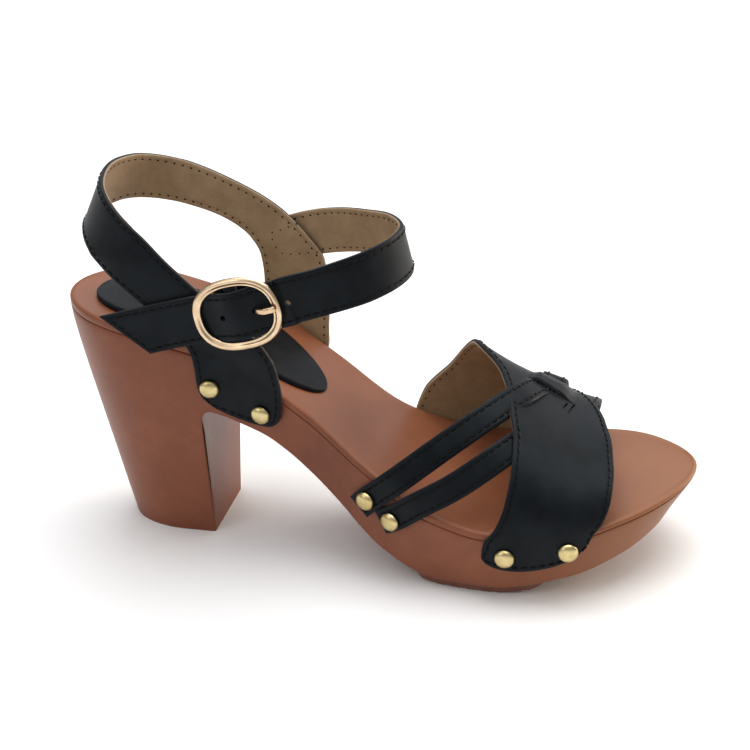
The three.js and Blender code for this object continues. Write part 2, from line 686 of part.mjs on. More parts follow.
function onHeel(turn, z) {
  const side = turn < 0 ? -1 : 1;
  const half = side < 0 ? BACK_HALF : BACK_HALF - INNER_EASE;
  const angle = THREE.MathUtils.degToRad(Math.min(Math.abs(turn), 90));
  const point = new THREE.Vector3(
    BACK_CENTRE - BACK_REACH * Math.cos(angle) + Math.max(Math.abs(turn) - 90, 0) * STRAIGHT_STEP,
    side * half * Math.sin(angle),
    z,
  );
  const inward = new THREE.Vector3(Math.cos(angle) / BACK_REACH, (-side * Math.sin(angle)) / half, 0);
  const leanIn = Math.max(0, (z - 1.234 * SEAT_HEIGHT) / (0.234 * SEAT_HEIGHT));
  point.addScaledVector(inward.normalize(), leanIn * (2 + 8 * Math.cos(angle)));
  const x = THREE.MathUtils.clamp(point.x, 1, LENGTH);
  const depth = footbedTop(x) - z;
  const fade = 14;
  if (depth > -fade) {
    const wall = wallPoint(side, x, Math.max(depth, 0)).y + side * (CLEARANCE + 0.25);
    point.y = THREE.MathUtils.lerp(point.y, wall, smoothstep(0, fade, depth + fade));
  }
  return point;
}

function heelNormal(turn, z) {
  const around = onHeel(turn + 1, z).sub(onHeel(turn - 1, z));
  const up = onHeel(turn, z + 0.5).sub(onHeel(turn, z - 0.5));
  return up.cross(around).normalize();
}

// The heel strap: outer stay, back strap and inner quarter in one strip
function heelStrap() {
  const rows = spaced(HEEL_STRAP);
  const loops = range(52).map((t) => {
    const row = Object.fromEntries(Object.keys(HEEL_STRAP[0]).map((name) => [name, column(rows, name, t)]));
    const across = range(5).map((u) => {
      const rise = THREE.MathUtils.lerp(row.low, row.high, u) + row.bulge * Math.sin(Math.PI * u);
      return { turn: THREE.MathUtils.lerp(row.aft, row.fore, u), z: SEAT_HEIGHT * rise };
    });
    const inner = across.map((p) => onHeel(p.turn, p.z));
    const outer = across.map((p, i) => inner[i].clone().addScaledVector(heelNormal(p.turn, p.z), LEATHER));
    return [...outer, ...inner.reverse()];
  });
  return skin(loops);
}

// The buckle lies beside the heel strap on the outer side. Its own frame has the length along x and
// the wall's normal along -y.
const BUCKLE_PLACE = new THREE.Vector3(
  LENGTH * 0.3179,
  -(BACK_HALF + LEATHER + CLEARANCE + ANKLE_STRAP_THICK + CLEARANCE + WIRE_THICK / 2 + 0.4),
  SEAT_HEIGHT * 1.076,
);
const BAR_INSET = (WIRE_THICK - BAR_THICK) / 2 + 0.75;
const STRAP_OVER_BAR = BAR_INSET - BAR_THICK / 2 - CLEARANCE - LOOP_THICK - CLEARANCE - ANKLE_STRAP_THICK / 2;
const STRAP_UNDER_WIRE = WIRE_THICK / 2 + CLEARANCE + ANKLE_STRAP_THICK / 2;

function fromBuckle(x, y, z) {
  return new THREE.Vector3(x, y, z).applyAxisAngle(new THREE.Vector3(0, -1, 0), BUCKLE_TILT).add(BUCKLE_PLACE);
}

function buckleFrame() {
  const reach = { x: (BUCKLE_LENGTH - WIRE_WIDTH) / 2, z: (BUCKLE_HEIGHT - WIRE_WIDTH) / 2 };
  const power = 2 / 2.4;
  const place = (angle, grow) => {
    const c = Math.cos(angle);
    const s = Math.sin(angle);
    return new THREE.Vector3(
      Math.sign(c) * Math.abs(c) ** power * (reach.x + grow),
      0,
      Math.sign(s) * Math.abs(s) ** power * (reach.z + grow),
    );
  };
  const section = range(8).slice(1).map((q) => {
    const turn = (q + 1 / 16) * 2 * Math.PI;
    return { out: (WIRE_WIDTH / 2 / Math.cos(Math.PI / 8)) * Math.cos(turn), rise: WIRE_THICK / 1.85 * Math.sin(turn) };
  });
  const loops = range(32).slice(1).map((q) => section.map(({ out, rise }) => {
    const point = place(q * 2 * Math.PI, out);
    return fromBuckle(point.x, -rise, point.z);
  }));
  const bar = new THREE.BoxGeometry(BAR_WIDTH, BAR_THICK, BUCKLE_HEIGHT - WIRE_WIDTH);
  bar.translate(0, BAR_INSET, 0);
  bar.rotateY(-BUCKLE_TILT);
  bar.translate(BUCKLE_PLACE.x, BUCKLE_PLACE.y, BUCKLE_PLACE.z);
  return fromManifold(toManifold(skin(loops, { ring: true })).add(toManifold(bar)));
}

// The prong comes up from the bar through the strap and rests on the frame's front end
function prongGeometry(radius, lead) {
  const tip = BUCKLE_LENGTH / 2 - WIRE_WIDTH / 2;
  const rest = -(WIRE_THICK / 2 + CLEARANCE + PRONG_DIAMETER / 2 + 0.1);
  const start = BAR_WIDTH / 2 + CLEARANCE + LOOP_THICK + 2 * CLEARANCE + PRONG_DIAMETER / 2;
  const points = [
    fromBuckle(start - lead, BAR_INSET - 0.2, 0),
    fromBuckle(start + 2.4, BAR_INSET - 0.8, 0),
    fromBuckle(start + 4.6, BAR_INSET - 2.8, 0),
    fromBuckle(start + 7.2, rest - 0.2, 0),
    fromBuckle(tip - 2, rest, 0),
    fromBuckle(tip + 0.6, rest, 0),
  ];
  const circle = new THREE.Shape();
  circle.absarc(0, 0, radius, 0, 2 * Math.PI);
  const path = new THREE.CatmullRomCurve3(points);
  return new THREE.ExtrudeGeometry(circle, { steps: 12, curveSegments: 4, extrudePath: path, bevelEnabled: false });
}

function bucklePin() {
  return fromManifold(toManifold(prongGeometry(PRONG_DIAMETER / 2, 0)));
}

// Folded leather round the bar, sewn down on the stay
function buckleLoop() {
  const half = { x: BAR_WIDTH / 2 + CLEARANCE, y: BAR_THICK / 2 + CLEARANCE };
  const outline = (x, y) => {
    const shape = new THREE.Shape();
    shape.moveTo(-x, -y);
    shape.lineTo(x, -y);
    shape.lineTo(x, y);
    shape.lineTo(-x, y);
    shape.closePath();
    return shape;
  };
  const wrap = outline(half.x + LOOP_THICK, half.y + LOOP_THICK);
  wrap.holes.push(outline(half.x, half.y));
  const ring = new THREE.ExtrudeGeometry(wrap, { depth: LOOP_LENGTH, bevelEnabled: false });
  ring.translate(0, BAR_INSET, -LOOP_LENGTH / 2);
  const back = -(BACK_HALF + LEATHER + CLEARANCE) - BUCKLE_PLACE.y;
  const front = BAR_INSET + half.y + LOOP_THICK / 2;
  const tab = new THREE.BoxGeometry(6, back - front, LOOP_LENGTH);
  tab.translate(0, (back + front) / 2, 0);
  const solid = toManifold(ring).add(toManifold(tab));
  const geometry = fromManifold(solid);
  geometry.rotateY(-BUCKLE_TILT);
  geometry.translate(BUCKLE_PLACE.x, BUCKLE_PLACE.y, BUCKLE_PLACE.z);
  return geometry;
}

// The ankle strap weaves through the buckle, under its ends and over its bar
function ankleStrapPath() {
  const outside = -(BACK_HALF + LEATHER + CLEARANCE + 0.2 + ANKLE_STRAP_THICK / 2);
  const around = ANKLE_STRAP.map((row) => {
    return new THREE.Vector3(LENGTH * row.at, BALL_WIDTH * row.side, SEAT_HEIGHT * row.high);
  });
  const reach = BUCKLE_LENGTH / 2;
  const through = [
    fromBuckle(reach, STRAP_UNDER_WIRE, 0),
    fromBuckle(reach * 0.5, STRAP_UNDER_WIRE, 0),
    fromBuckle(reach * 0.17, STRAP_OVER_BAR, 0),
    fromBuckle(-reach * 0.17, STRAP_OVER_BAR, 0),
    fromBuckle(-reach * 0.5, STRAP_UNDER_WIRE, 0),
    fromBuckle(-reach, STRAP_UNDER_WIRE, 0),
  ];
  const tail = [fromBuckle(-reach * 1.6, 0, 0), fromBuckle(-reach * 2.75, 0, -0.4)];
  tail.forEach((point) => {
    point.y = outside;
  });
  return new THREE.CatmullRomCurve3([...around, ...through, ...tail]);
}

function ankleStrap() {
  const path = ankleStrapPath();
  const count = 68;
  const slant = 0.78;
  const loops = range(count).map((t) => {
    const point = path.getPoint(t);
    const along = path.getTangent(t);
    const inward = along.clone().cross(UP).normalize();
    const leanIn = ANKLE_STRAP_LEAN * smoothstep(0.07, 0.18, t) * (1 - smoothstep(0.36, 0.44, t));
    const upright = fromBuckle(0, 0, 1).sub(BUCKLE_PLACE).lerp(UP, 1 - smoothstep(0.46, 0.56, t));
    const upward = upright.multiplyScalar(Math.cos(leanIn)).addScaledVector(inward, Math.sin(leanIn));
    const across = upward.addScaledVector(along, -upward.dot(along)).normalize();
    const normal = across.clone().cross(along);
    const tail = t === 1 ? slant : 0;
    const corner = (u, v) => point.clone().addScaledVector(across, (u * ANKLE_STRAP_WIDTH) / 2)
      .addScaledVector(along, (tail * u * ANKLE_STRAP_WIDTH) / 2)
      .addScaledVector(normal, (v * ANKLE_STRAP_THICK) / 2);
    return [corner(-1, 1), corner(0, 1), corner(1, 1), corner(1, -1), corner(0, -1), corner(-1, -1)];
  });
  let strap = toManifold(skin(loops)).subtract(toManifold(prongGeometry(PRONG_DIAMETER / 2 + CLEARANCE, CLEARANCE)));
  [-1, 1].forEach((step) => {
    const hole = new THREE.CylinderGeometry(HOLE_DIAMETER / 2, HOLE_DIAMETER / 2, 12, 10);
    const place = fromBuckle(7 + step * HOLE_PITCH, 0, 0);
    hole.translate(place.x, place.y, place.z);
    strap = strap.subtract(toManifold(hole));
  });
  return fromManifold(strap);
}

// A domed nail head, its flat back on the leather
function nailGeometry() {
  const radius = NAIL_DIAMETER / 2;
  const profile = range(3).map((q) => {
    const turn = (q * Math.PI) / 2;
    return new THREE.Vector2(radius * Math.cos(turn), 0.4 + (NAIL_HEIGHT - 0.4) * Math.sin(turn));
  });
  const points = [new THREE.Vector2(0, 0), new THREE.Vector2(radius, 0), ...profile];
  points[points.length - 1].x = 0;
  const lathe = new THREE.LatheGeometry(points, 10);
  return fromManifold(toManifold(lathe));
}

function nailFrames() {
  const onLeather = LEATHER + SEAM;
  const foot = FOOT_NAILS.map((nail) => {
    const out = footNormal(nail.at, nail.turn);
    const point = onFoot(nail.at, nail.turn, CLEARANCE).addScaledVector(out, nail.lift);
    return { point, out };
  });
  const heel = HEEL_NAILS.map((nail) => {
    const z = SEAT_HEIGHT * nail.high;
    const out = heelNormal(nail.turn, z);
    return { point: onHeel(nail.turn, z).addScaledVector(out, onLeather), out };
  });
  return [...foot, ...heel];
}

// Materials of the photo
const mouldedBrown = new THREE.MeshStandardMaterial({ color: 0x9c5f48, roughness: 0.5, metalness: 0 });
const treadBrown = new THREE.MeshStandardMaterial({ color: 0x8a5240, roughness: 0.7, metalness: 0 });
const blackLeather = new THREE.MeshStandardMaterial({ color: 0x1b1c20, roughness: 0.45, metalness: 0 });
const blackSock = new THREE.MeshStandardMaterial({ color: 0x1e1f22, roughness: 0.4, metalness: 0 });
const paleGold = new THREE.MeshStandardMaterial({ color: 0xd2b48c, roughness: 0.25, metalness: 1 });
const brass = new THREE.MeshStandardMaterial({ color: 0xb9a56a, roughness: 0.3, metalness: 1 });

const sandal = new THREE.Group();

function addPart(name, geometry, material) {
  const mesh = new THREE.Mesh(geometry, material);
  mesh.name = name;
  sandal.add(mesh);
  return mesh;
}

addPart('platform_unit', platformUnit(), mouldedBrown);
addPart('forepart_outsole', forepartOutsole(), treadBrown);
addPart('heel_sock', heelSock(), blackSock);
addPart('forefoot_upper', forefootUpper(), blackLeather);
addPart('heel_strap', heelStrap(), blackLeather);
addPart('ankle_strap', ankleStrap(), blackLeather);
addPart('buckle_frame', buckleFrame(), paleGold);
addPart('buckle_prong', bucklePin(), paleGold);
addPart('buckle_loop', buckleLoop(), blackLeather);

const nail = nailGeometry();
nailFrames().forEach(({ point, out }, i) => {
  const mesh = addPart(`nail_${i + 1}`, nail, brass);
  mesh.position.copy(point);
  mesh.quaternion.setFromUnitVectors(new THREE.Vector3(0, 1, 0), out);
});

// The origin is under the middle of the standing shoe
const box = new THREE.Box3().setFromObject(sandal);
const middle = box.getCenter(new THREE.Vector3());
sandal.position.set(-middle.x, -middle.y, -box.min.z);

export default sandal;
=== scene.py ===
# %% [markdown]
# # A block heel sandal in black leather and moulded brown
# This lesson dresses the CAD solids of one right sandal. The solids give the size and the place of
# every piece. Here each piece is made again with finer curves, cut edges, stitches and a finish of
# its own, in the same frame and in metres.

import bmesh
import bpy
import numpy as np
from mathutils import Matrix, Vector


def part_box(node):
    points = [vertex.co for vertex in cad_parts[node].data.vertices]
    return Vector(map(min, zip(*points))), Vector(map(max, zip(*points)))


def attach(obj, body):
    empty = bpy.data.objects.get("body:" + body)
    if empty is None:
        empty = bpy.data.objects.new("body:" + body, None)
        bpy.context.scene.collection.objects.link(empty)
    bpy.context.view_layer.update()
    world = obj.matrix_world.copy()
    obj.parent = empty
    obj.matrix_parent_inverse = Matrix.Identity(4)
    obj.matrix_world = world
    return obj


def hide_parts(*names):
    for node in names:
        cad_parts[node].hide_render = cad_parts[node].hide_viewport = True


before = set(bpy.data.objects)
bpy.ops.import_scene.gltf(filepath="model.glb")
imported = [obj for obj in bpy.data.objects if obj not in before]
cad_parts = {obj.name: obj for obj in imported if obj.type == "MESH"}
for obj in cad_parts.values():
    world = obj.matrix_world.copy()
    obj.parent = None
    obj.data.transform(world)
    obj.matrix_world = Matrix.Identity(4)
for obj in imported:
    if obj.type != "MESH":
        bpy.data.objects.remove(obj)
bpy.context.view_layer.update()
dice = np.random.default_rng(7)

# %% [markdown]
# ## Sizes in a shoemaker's own coordinates
# A shoemaker measures along the sole from the back of the heel. So x runs from the heel's back to
# the toe, y runs across with the outer side negative, z goes up from the floor, and all of it is in
# millimetres. The sizes and the short tables are those of the CAD source, because a finer piece has
# to lie exactly where its solid lies.

# %% Named sizes
LENGTH = 238.2
BALL_WIDTH = 88.0
SEAT_HEIGHT = 94.0
HEEL_ROUND = 30.0
TOE_ROUND = 46.0
BREAST = 56.0
BREAST_FILLET = 4.0
HEEL_TIP = {"rear": 18.5, "width": 36.4, "round": 26.0, "centre": 1.8}
EDGE_ROUND = 1.6
DISH = 1.2
PAD_THICK = 2.7
LEATHER = 2.0
SEAM = 0.5
CLEARANCE = 0.3
INSTEP_HEIGHT = 47.5
UP = np.array([0.0, 0.0, 1.0])
print("footbed", LENGTH, "mm long, seat", SEAT_HEIGHT, "mm high")


# %% [markdown]
# ## Tables and the curve through them
# Each table holds shares of a named size at shares of the length. A plain spline would swing past
# its rows, so the helper uses slopes that never overshoot. It takes whole arrays at once, which is
# what keeps a mesh of thousands of points quick in Python.

# %% Tables of the footbed, the walls and the foot
def table(names, rows):
    return {name: np.array(values, float) for name, values in zip(names.split(), zip(*rows))}


FOOTBED = table("at centre outer inner top", [
    (0.0, 0.006, 0.3125, 0.3125, 1.0),
    (0.0705, 0.002, 0.33, 0.325, 0.985),
    (0.1612, -0.003, 0.333, 0.332, 0.939),
    (0.2821, 0.006, 0.314, 0.323, 0.84),
    (0.403, 0.009, 0.341, 0.289, 0.654),
    (0.5038, 0.011, 0.416, 0.275, 0.47),
    (0.6045, 0.017, 0.511, 0.368, 0.336),
    (0.7053, 0.028, 0.552, 0.432, 0.285),
    (0.806, 0.045, 0.561, 0.439, 0.298),
    (0.9068, 0.068, 0.507, 0.416, 0.332),
    (1.0, 0.077, 0.409, 0.352, 0.362),
])
UNDERSIDE = table("at rise", [
    (0.2348, 0.574), (0.3023, 0.507), (0.3395, 0.468), (0.3778, 0.405), (0.4071, 0.344),
    (0.4383, 0.275), (0.4705, 0.2), (0.4987, 0.13), (0.5239, 0.079), (0.5542, 0.0426),
    (0.5874, 0.015), (0.6247, 0.0), (0.7053, 0.0), (0.7657, 0.025), (0.806, 0.0575),
    (0.8564, 0.09), (0.9068, 0.131), (0.9572, 0.1755), (1.0, 0.223),
])
WALL = table("at draft knee", [
    (0.2348, 0.044, 0.106), (0.3023, 0.036, 0.106), (0.5038, 0.034, 0.106),
    (0.6247, 0.026, 0.106), (0.7254, 0.024, 0.106), (0.806, 0.027, 0.09),
    (0.9068, 0.032, 0.06), (0.9572, 0.055, 0.04), (1.0, 0.11, 0.02),
])
RIDGE = table("at offset height", [
    (0.4534, 0.023, 1.22), (0.5542, 0.023, 1.126), (0.6297, 0.025, 1.0),
    (0.6549, 0.027, 0.933), (0.7053, 0.031, 0.792), (0.7557, 0.034, 0.648),
    (0.806, 0.039, 0.51), (0.8564, 0.043, 0.4), (0.927, 0.048, 0.295),
])
print("tables:", len(FOOTBED["at"]) + len(UNDERSIDE["at"]) + len(WALL["at"]) + len(RIDGE["at"]), "rows")


# %% The curve through a table
def column(rows, name, at):
    """A smooth column of a table, without overshoot between its rows."""
    at = np.asarray(at, float)
    place, value = rows["at"], rows[name]
    secant = np.diff(value) / np.diff(place)
    before, after = secant[:-1], secant[1:]
    same = before * after > 0
    middle = np.where(same, 2 * before * after / np.where(same, before + after, 1.0), 0.0)
    slope = np.concatenate([secant[:1], middle, secant[-1:]])
    i = np.clip(np.searchsorted(place, at, side="left") - 1, 0, len(place) - 2)
    step = place[i + 1] - place[i]
    t = np.clip((at - place[i]) / step, 0, 1)
    rise = (value[i + 1] - value[i]) * t * t * (3 - 2 * t)
    return value[i] + rise + step * (slope[i] * t * (1 - t) ** 2 - slope[i + 1] * t * t * (1 - t))


def smoothstep(low, high, value):
    t = np.clip((np.asarray(value, float) - low) / (high - low), 0, 1)
    return t * t * (3 - 2 * t)


def unit(v):
    return v / np.maximum(np.linalg.norm(v, axis=-1, keepdims=True), 1e-9)


def points(x, y, z):
    return np.stack(np.broadcast_arrays(x, y, z), -1).astype(float)


print("footbed height at the ball:", round(float(SEAT_HEIGHT * column(FOOTBED, "top", 0.7)), 1), "mm")


# %% [markdown]
# ## The platform's surfaces
# The platform of this sandal is one moulding: a footbed with a rounded lip, side walls that lean
# in, a block heel and an arch. Every strap is laid against it, so its surfaces are written as
# functions first and the meshes come after.

# %% Footbed and underside
def end_rounding(x):
    heel = np.where(x < HEEL_ROUND, np.sqrt(np.clip(1 - ((HEEL_ROUND - x) / HEEL_ROUND) ** 2, 0, 1)), 1)
    start = LENGTH - TOE_ROUND
    toe = np.where(x > start, np.sqrt(np.clip(1 - ((x - start) / TOE_ROUND) ** 2, 0, 1)), 1)
    return heel * toe


def footbed_edge(side, x):
    half = column(FOOTBED, "outer" if side < 0 else "inner", x / LENGTH) * end_rounding(x)
    return BALL_WIDTH * (column(FOOTBED, "centre", x / LENGTH) + side * half)


def footbed_top(x):
    return SEAT_HEIGHT * column(FOOTBED, "top", x / LENGTH)


def dish(x, y):
    outer, inner = footbed_edge(-1, x), footbed_edge(1, x)
    share = np.clip((y - outer) / np.maximum(inner - outer, 1e-6), 0, 1)
    width = np.minimum(1, (inner - outer) / (BALL_WIDTH / 2))
    return DISH * width * (1 - (2 * share - 1) ** 4)


def underside(x):
    into = np.clip((x - BREAST) / BREAST_FILLET, 0, 1)
    fillet = BREAST_FILLET * (1 - np.sqrt(1 - (1 - into) ** 2))
    return PAD_THICK + SEAM + SEAT_HEIGHT * column(UNDERSIDE, "rise", x / LENGTH) - fillet


along_sole = np.linspace(0, LENGTH, 400)
widest = footbed_edge(-1, along_sole).min()
SHIFT = np.array([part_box("platform_unit")[0].x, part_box("platform_unit")[0].y, 0]) * 1000 - [0, widest, 0]
print("from the shoe's coordinates to the frame, in millimetres:", np.round(SHIFT, 2))


# %% Side walls
def inward(side, x):
    """Level direction from the footbed's edge into the sole."""
    low, high = np.maximum(0, x - 0.02), np.minimum(LENGTH, x + 0.02)
    slope = (footbed_edge(side, high) - footbed_edge(side, low)) / (high - low)
    normal = unit(points(side * slope, -side, 0))
    ends = points(np.where(x < LENGTH / 2, 1, -1), 0, 0)
    return np.where((end_rounding(x) == 0)[..., None], ends, normal)


def lean(depth, height, knee):
    return (np.hypot(depth, knee) - knee) / (np.hypot(height, knee) - knee)


def wall_height(side, x):
    draft = BALL_WIDTH * column(WALL, "draft", x / LENGTH) + EDGE_ROUND
    return footbed_top(x) - underside(x + inward(side, x)[..., 0] * draft)


def wall_inset(side, x, depth):
    knee = SEAT_HEIGHT * column(WALL, "knee", x / LENGTH)
    return BALL_WIDTH * column(WALL, "draft", x / LENGTH) * lean(depth, wall_height(side, x), knee)


def heel_tip(side, x):
    turn = np.arccos(1 - np.minimum(x / HEEL_ROUND, 1))
    straight = np.maximum(0, x - HEEL_ROUND) / (BREAST - HEEL_ROUND)
    depth = BREAST - HEEL_TIP["rear"] - HEEL_TIP["round"]
    tip_x = HEEL_TIP["rear"] + HEEL_TIP["round"] * (1 - np.cos(turn)) + depth * straight
    return points(tip_x, HEEL_TIP["centre"] + side * np.sin(turn) * HEEL_TIP["width"] / 2, 0)


HEEL_KNEE, ARCH_BLEND = 10.0, 20.0


def wall_point(side, x, depth):
    x, depth = np.broadcast_arrays(np.asarray(x, float), np.asarray(depth, float))
    edge = points(x, footbed_edge(side, x), footbed_top(x))
    arch = edge + inward(side, x) * wall_inset(side, x, depth)[..., None]
    tip = heel_tip(side, np.minimum(x, BREAST))
    heel = edge + (tip - edge) * lean(depth, edge[..., 2], HEEL_KNEE)[..., None]
    heel[..., 0] = np.where(x > BREAST, x, heel[..., 0])
    point = heel + (arch - heel) * smoothstep(BREAST, BREAST + ARCH_BLEND, x)[..., None]
    point[..., 2] = edge[..., 2] - depth
    return point


print("wall height at the ball:", round(float(wall_height(-1, np.array(170.0))), 1), "mm")


# %% [markdown]
# ## The foot inside the straps
# Straps keep the shape of the last they were pulled over. This surface stands for that last. A turn
# of 0 to 180 degrees goes over the foot from the outer to the inner edge of the footbed. Below 0
# and above 180 the same number counts millimetres down the side wall, where the straps are nailed.

# %% Foot surface
def on_foot(at, turn, off):
    at, turn, off = np.broadcast_arrays(*(np.asarray(v, float) for v in (at, turn, off)))
    x = LENGTH * at
    edges = {side: footbed_edge(side, x) for side in (-1, 1)}
    top = footbed_top(x)
    angle = np.radians(np.clip(turn, 0, 180))
    ridge = BALL_WIDTH * column(RIDGE, "offset", at)
    height = INSTEP_HEIGHT * column(RIDGE, "height", at)
    side = np.where(np.cos(angle) >= 0, -1, 1)
    reach = np.where(side < 0, ridge - edges[-1], edges[1] - ridge) + off + SEAM - CLEARANCE
    power = 2 / 2.2
    y = ridge + side * reach * np.abs(np.cos(angle)) ** power
    z = top + (height + off) * np.abs(np.sin(angle)) ** power
    for wall, depth in ((-1, -turn), (1, turn - 180)):
        inset = wall_inset(wall, x, np.maximum(depth, 0)) - off - SEAM + CLEARANCE
        y = np.where(depth > 0, edges[wall] - wall * inset, y)
        z = np.where(depth > 0, top - depth, z)
    return points(x, y, z)


def foot_normal(at, turn):
    ahead = on_foot(at + 0.004, turn, 0) - on_foot(at - 0.004, turn, 0)
    around = on_foot(at, turn + 1, 0) - on_foot(at, turn - 1, 0)
    return unit(np.cross(ahead, around))


def off_foot(at, turn, off):
    return on_foot(at, turn, CLEARANCE) + foot_normal(at, turn) * (off - CLEARANCE)[..., None]


print("top of the foot over the ball:", np.round(on_foot(0.75, 90, 0), 1))


# %% Heel surface
BACK_REACH, BACK_HALF, BACK_CENTRE = 30.0, 30.5, 38.0
INNER_SLIMMER, SIDE_PACE, NEAR_WALL, OFF_WALL = 1.5, 0.611, 14.0, 0.25
TOPLINE = {"from": 1.234, "over": 0.234, "in": 2, "back_in": 8}


def on_heel(turn, z):
    turn, z = np.broadcast_arrays(np.asarray(turn, float), np.asarray(z, float))
    side = np.where(turn < 0, -1, 1)
    half = np.where(side < 0, BACK_HALF, BACK_HALF - INNER_SLIMMER)
    angle = np.radians(np.minimum(np.abs(turn), 90))
    x = BACK_CENTRE - BACK_REACH * np.cos(angle) + np.maximum(np.abs(turn) - 90, 0) * SIDE_PACE
    point = points(x, side * half * np.sin(angle), z)
    inside = unit(points(np.cos(angle) / BACK_REACH, -side * np.sin(angle) / half, 0))
    above = np.maximum(0, (z / SEAT_HEIGHT - TOPLINE["from"]) / TOPLINE["over"])
    point = point + inside * (above * (TOPLINE["in"] + TOPLINE["back_in"] * np.cos(angle)))[..., None]
    place = np.clip(point[..., 0], 1, LENGTH)
    depth = footbed_top(place) - z
    for wall in (-1, 1):
        face = wall_point(wall, place, np.maximum(depth, 0))[..., 1] + wall * (CLEARANCE + OFF_WALL)
        share = smoothstep(-NEAR_WALL, 0, depth)
        y = point[..., 1] + (face - point[..., 1]) * share
        point[..., 1] = np.where((side == wall) & (depth > -NEAR_WALL), y, point[..., 1])
    return point


def heel_normal(turn, z):
    around = on_heel(turn + 1, z) - on_heel(turn - 1, z)
    up = on_heel(turn, z + 0.5) - on_heel(turn, z - 0.5)
    return unit(np.cross(up, around))


print("back of the heel at the seat's height:", np.round(on_heel(0, SEAT_HEIGHT), 1))


# %% [markdown]
# ## A mesh from sections
# Most pieces here are a run of cross sections joined by quads, as a boat is built over its ribs.
# One helper lists the faces of such a run. Another makes the mesh: it welds doubled points, turns
# the faces outwards, shades the curves smoothly and keeps true corners sharp.

# %% Mesh helpers
WELD, THIN = 2e-6, 1e-6


def to_frame(corners):
    """Shoe millimetres to the frame's metres."""
    return (np.asarray(corners, float).reshape(-1, 3) + SHIFT) / 1000


def outward_mesh(name, corners, faces, marks=None, weld=True):
    """A mesh whose faces all point outwards. Marks give each face the number of its material."""
    mesh = bpy.data.meshes.new(name)
    mesh.from_pydata(to_frame(corners).tolist(), [], faces)
    if marks is not None:
        mesh.polygons.foreach_set("material_index", np.asarray(marks, np.int32))
    shape = bmesh.new()
    shape.from_mesh(mesh)
    if weld:
        bmesh.ops.remove_doubles(shape, verts=shape.verts, dist=WELD)
        bmesh.ops.dissolve_degenerate(shape, dist=THIN, edges=shape.edges)
    bmesh.ops.recalc_face_normals(shape, faces=shape.faces)
    shape.to_mesh(mesh)
    shape.free()
    return mesh


def linked(name, data):
    thing = bpy.data.objects.new(name, data)
    bpy.context.scene.collection.objects.link(thing)
    return thing


def make_piece(name, corners, faces, materials, slot, *nodes, sharp=38.0, marks=None):
    """One visible piece, told to the frame: what it rides on and the nodes it replaces. The slot is not
    used.
    """
    mesh = outward_mesh(name, corners, faces, marks)
    mesh.shade_smooth()
    mesh.set_sharp_from_angle(angle=np.radians(sharp))
    for material in materials:
        mesh.materials.append(material)
    piece = linked(name, mesh)
    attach(piece, "root")
    if nodes:
        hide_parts(*nodes)
    print(name, "has", len(mesh.polygons), "faces")
    return piece


def run_faces(rows, size, ring=False, start=0):
    """Quads between closed sections of equal size."""
    faces = []
    for i in range(rows if ring else rows - 1):
        here, after = start + i * size, start + ((i + 1) % rows) * size
        for j in range(size):
            k = (j + 1) % size
            faces.append((here + j, after + j, after + k, here + k))
    return faces


def capped(rows, size, start=0):
    """The same quads, with a face at both ends."""
    last = start + (rows - 1) * size
    ends = [tuple(range(start + size - 1, start - 1, -1)), tuple(range(last, last + size))]
    return run_faces(rows, size, start=start) + ends


print("a ring of 3 sections with 4 points has", len(run_faces(3, 4, ring=True)), "quads")


# %% [markdown]
# ## Finishes
# The platform is polyurethane moulded and sprayed to look like stained wood: a warm red brown with
# a soft shine, paler at the toe. Its colour comes from two noises of different size and a blend by
# place along the sole. Faces that point up are also painted lighter, a painted highlight for the
# light that falls on the top.

# %% Material helpers
def finish(name, colour, rough, metal=0.0):
    material = bpy.data.materials.new(name)
    material.use_nodes = True
    tree = material.node_tree
    shader = tree.nodes["Principled BSDF"]
    shader.inputs["Base Color"].default_value = (*colour, 1)
    shader.inputs["Roughness"].default_value = rough
    shader.inputs["Metallic"].default_value = metal
    return material, tree, shader


def add(tree, kind, **values):
    """A node with its named settings and inputs set."""
    node = tree.nodes.new(kind)
    for key, value in values.items():
        if hasattr(node, key):
            setattr(node, key, value)
        else:
            node.inputs[key.replace("_", " ")].default_value = value
    return node


def place_of(tree):
    """Object coordinates turned into millimetres, so that grain sizes can be typed as they are."""
    where = tree.nodes.new("ShaderNodeTexCoord")
    sized = add(tree, "ShaderNodeVectorMath", operation="SCALE", Scale=1000.0)
    tree.links.new(where.outputs["Object"], sized.inputs[0])
    return sized.outputs[0]


def noise(tree, where, size, detail=4.0, rough=0.55):
    """Noise with patches about size millimetres across."""
    node = add(tree, "ShaderNodeTexNoise", Scale=1.0 / size, Detail=detail, Roughness=rough)
    tree.links.new(where, node.inputs["Vector"])
    return node.outputs["Fac"]


print("grain sizes are typed in millimetres")


# %% Colour, bump and roughness helpers
def ramp(tree, value, stops):
    node = tree.nodes.new("ShaderNodeValToRGB")
    while len(node.color_ramp.elements) < len(stops):
        node.color_ramp.elements.new(0.5)
    for element, (position, colour) in zip(node.color_ramp.elements, stops):
        element.position = position
        element.color = (*colour, 1)
    tree.links.new(value, node.inputs["Fac"])
    return node.outputs["Color"]


def mix(tree, share, a, b, kind="MIX"):
    """Mixes two colours. Each may be a socket or a fixed colour."""
    node = add(tree, "ShaderNodeMix", data_type="RGBA", blend_type=kind)
    for socket, value in ((node.inputs[0], share), (node.inputs[6], a), (node.inputs[7], b)):
        if isinstance(value, bpy.types.NodeSocket):
            tree.links.new(value, socket)
        else:
            socket.default_value = value if isinstance(value, float) else (*value, 1)
    return node.outputs[2]


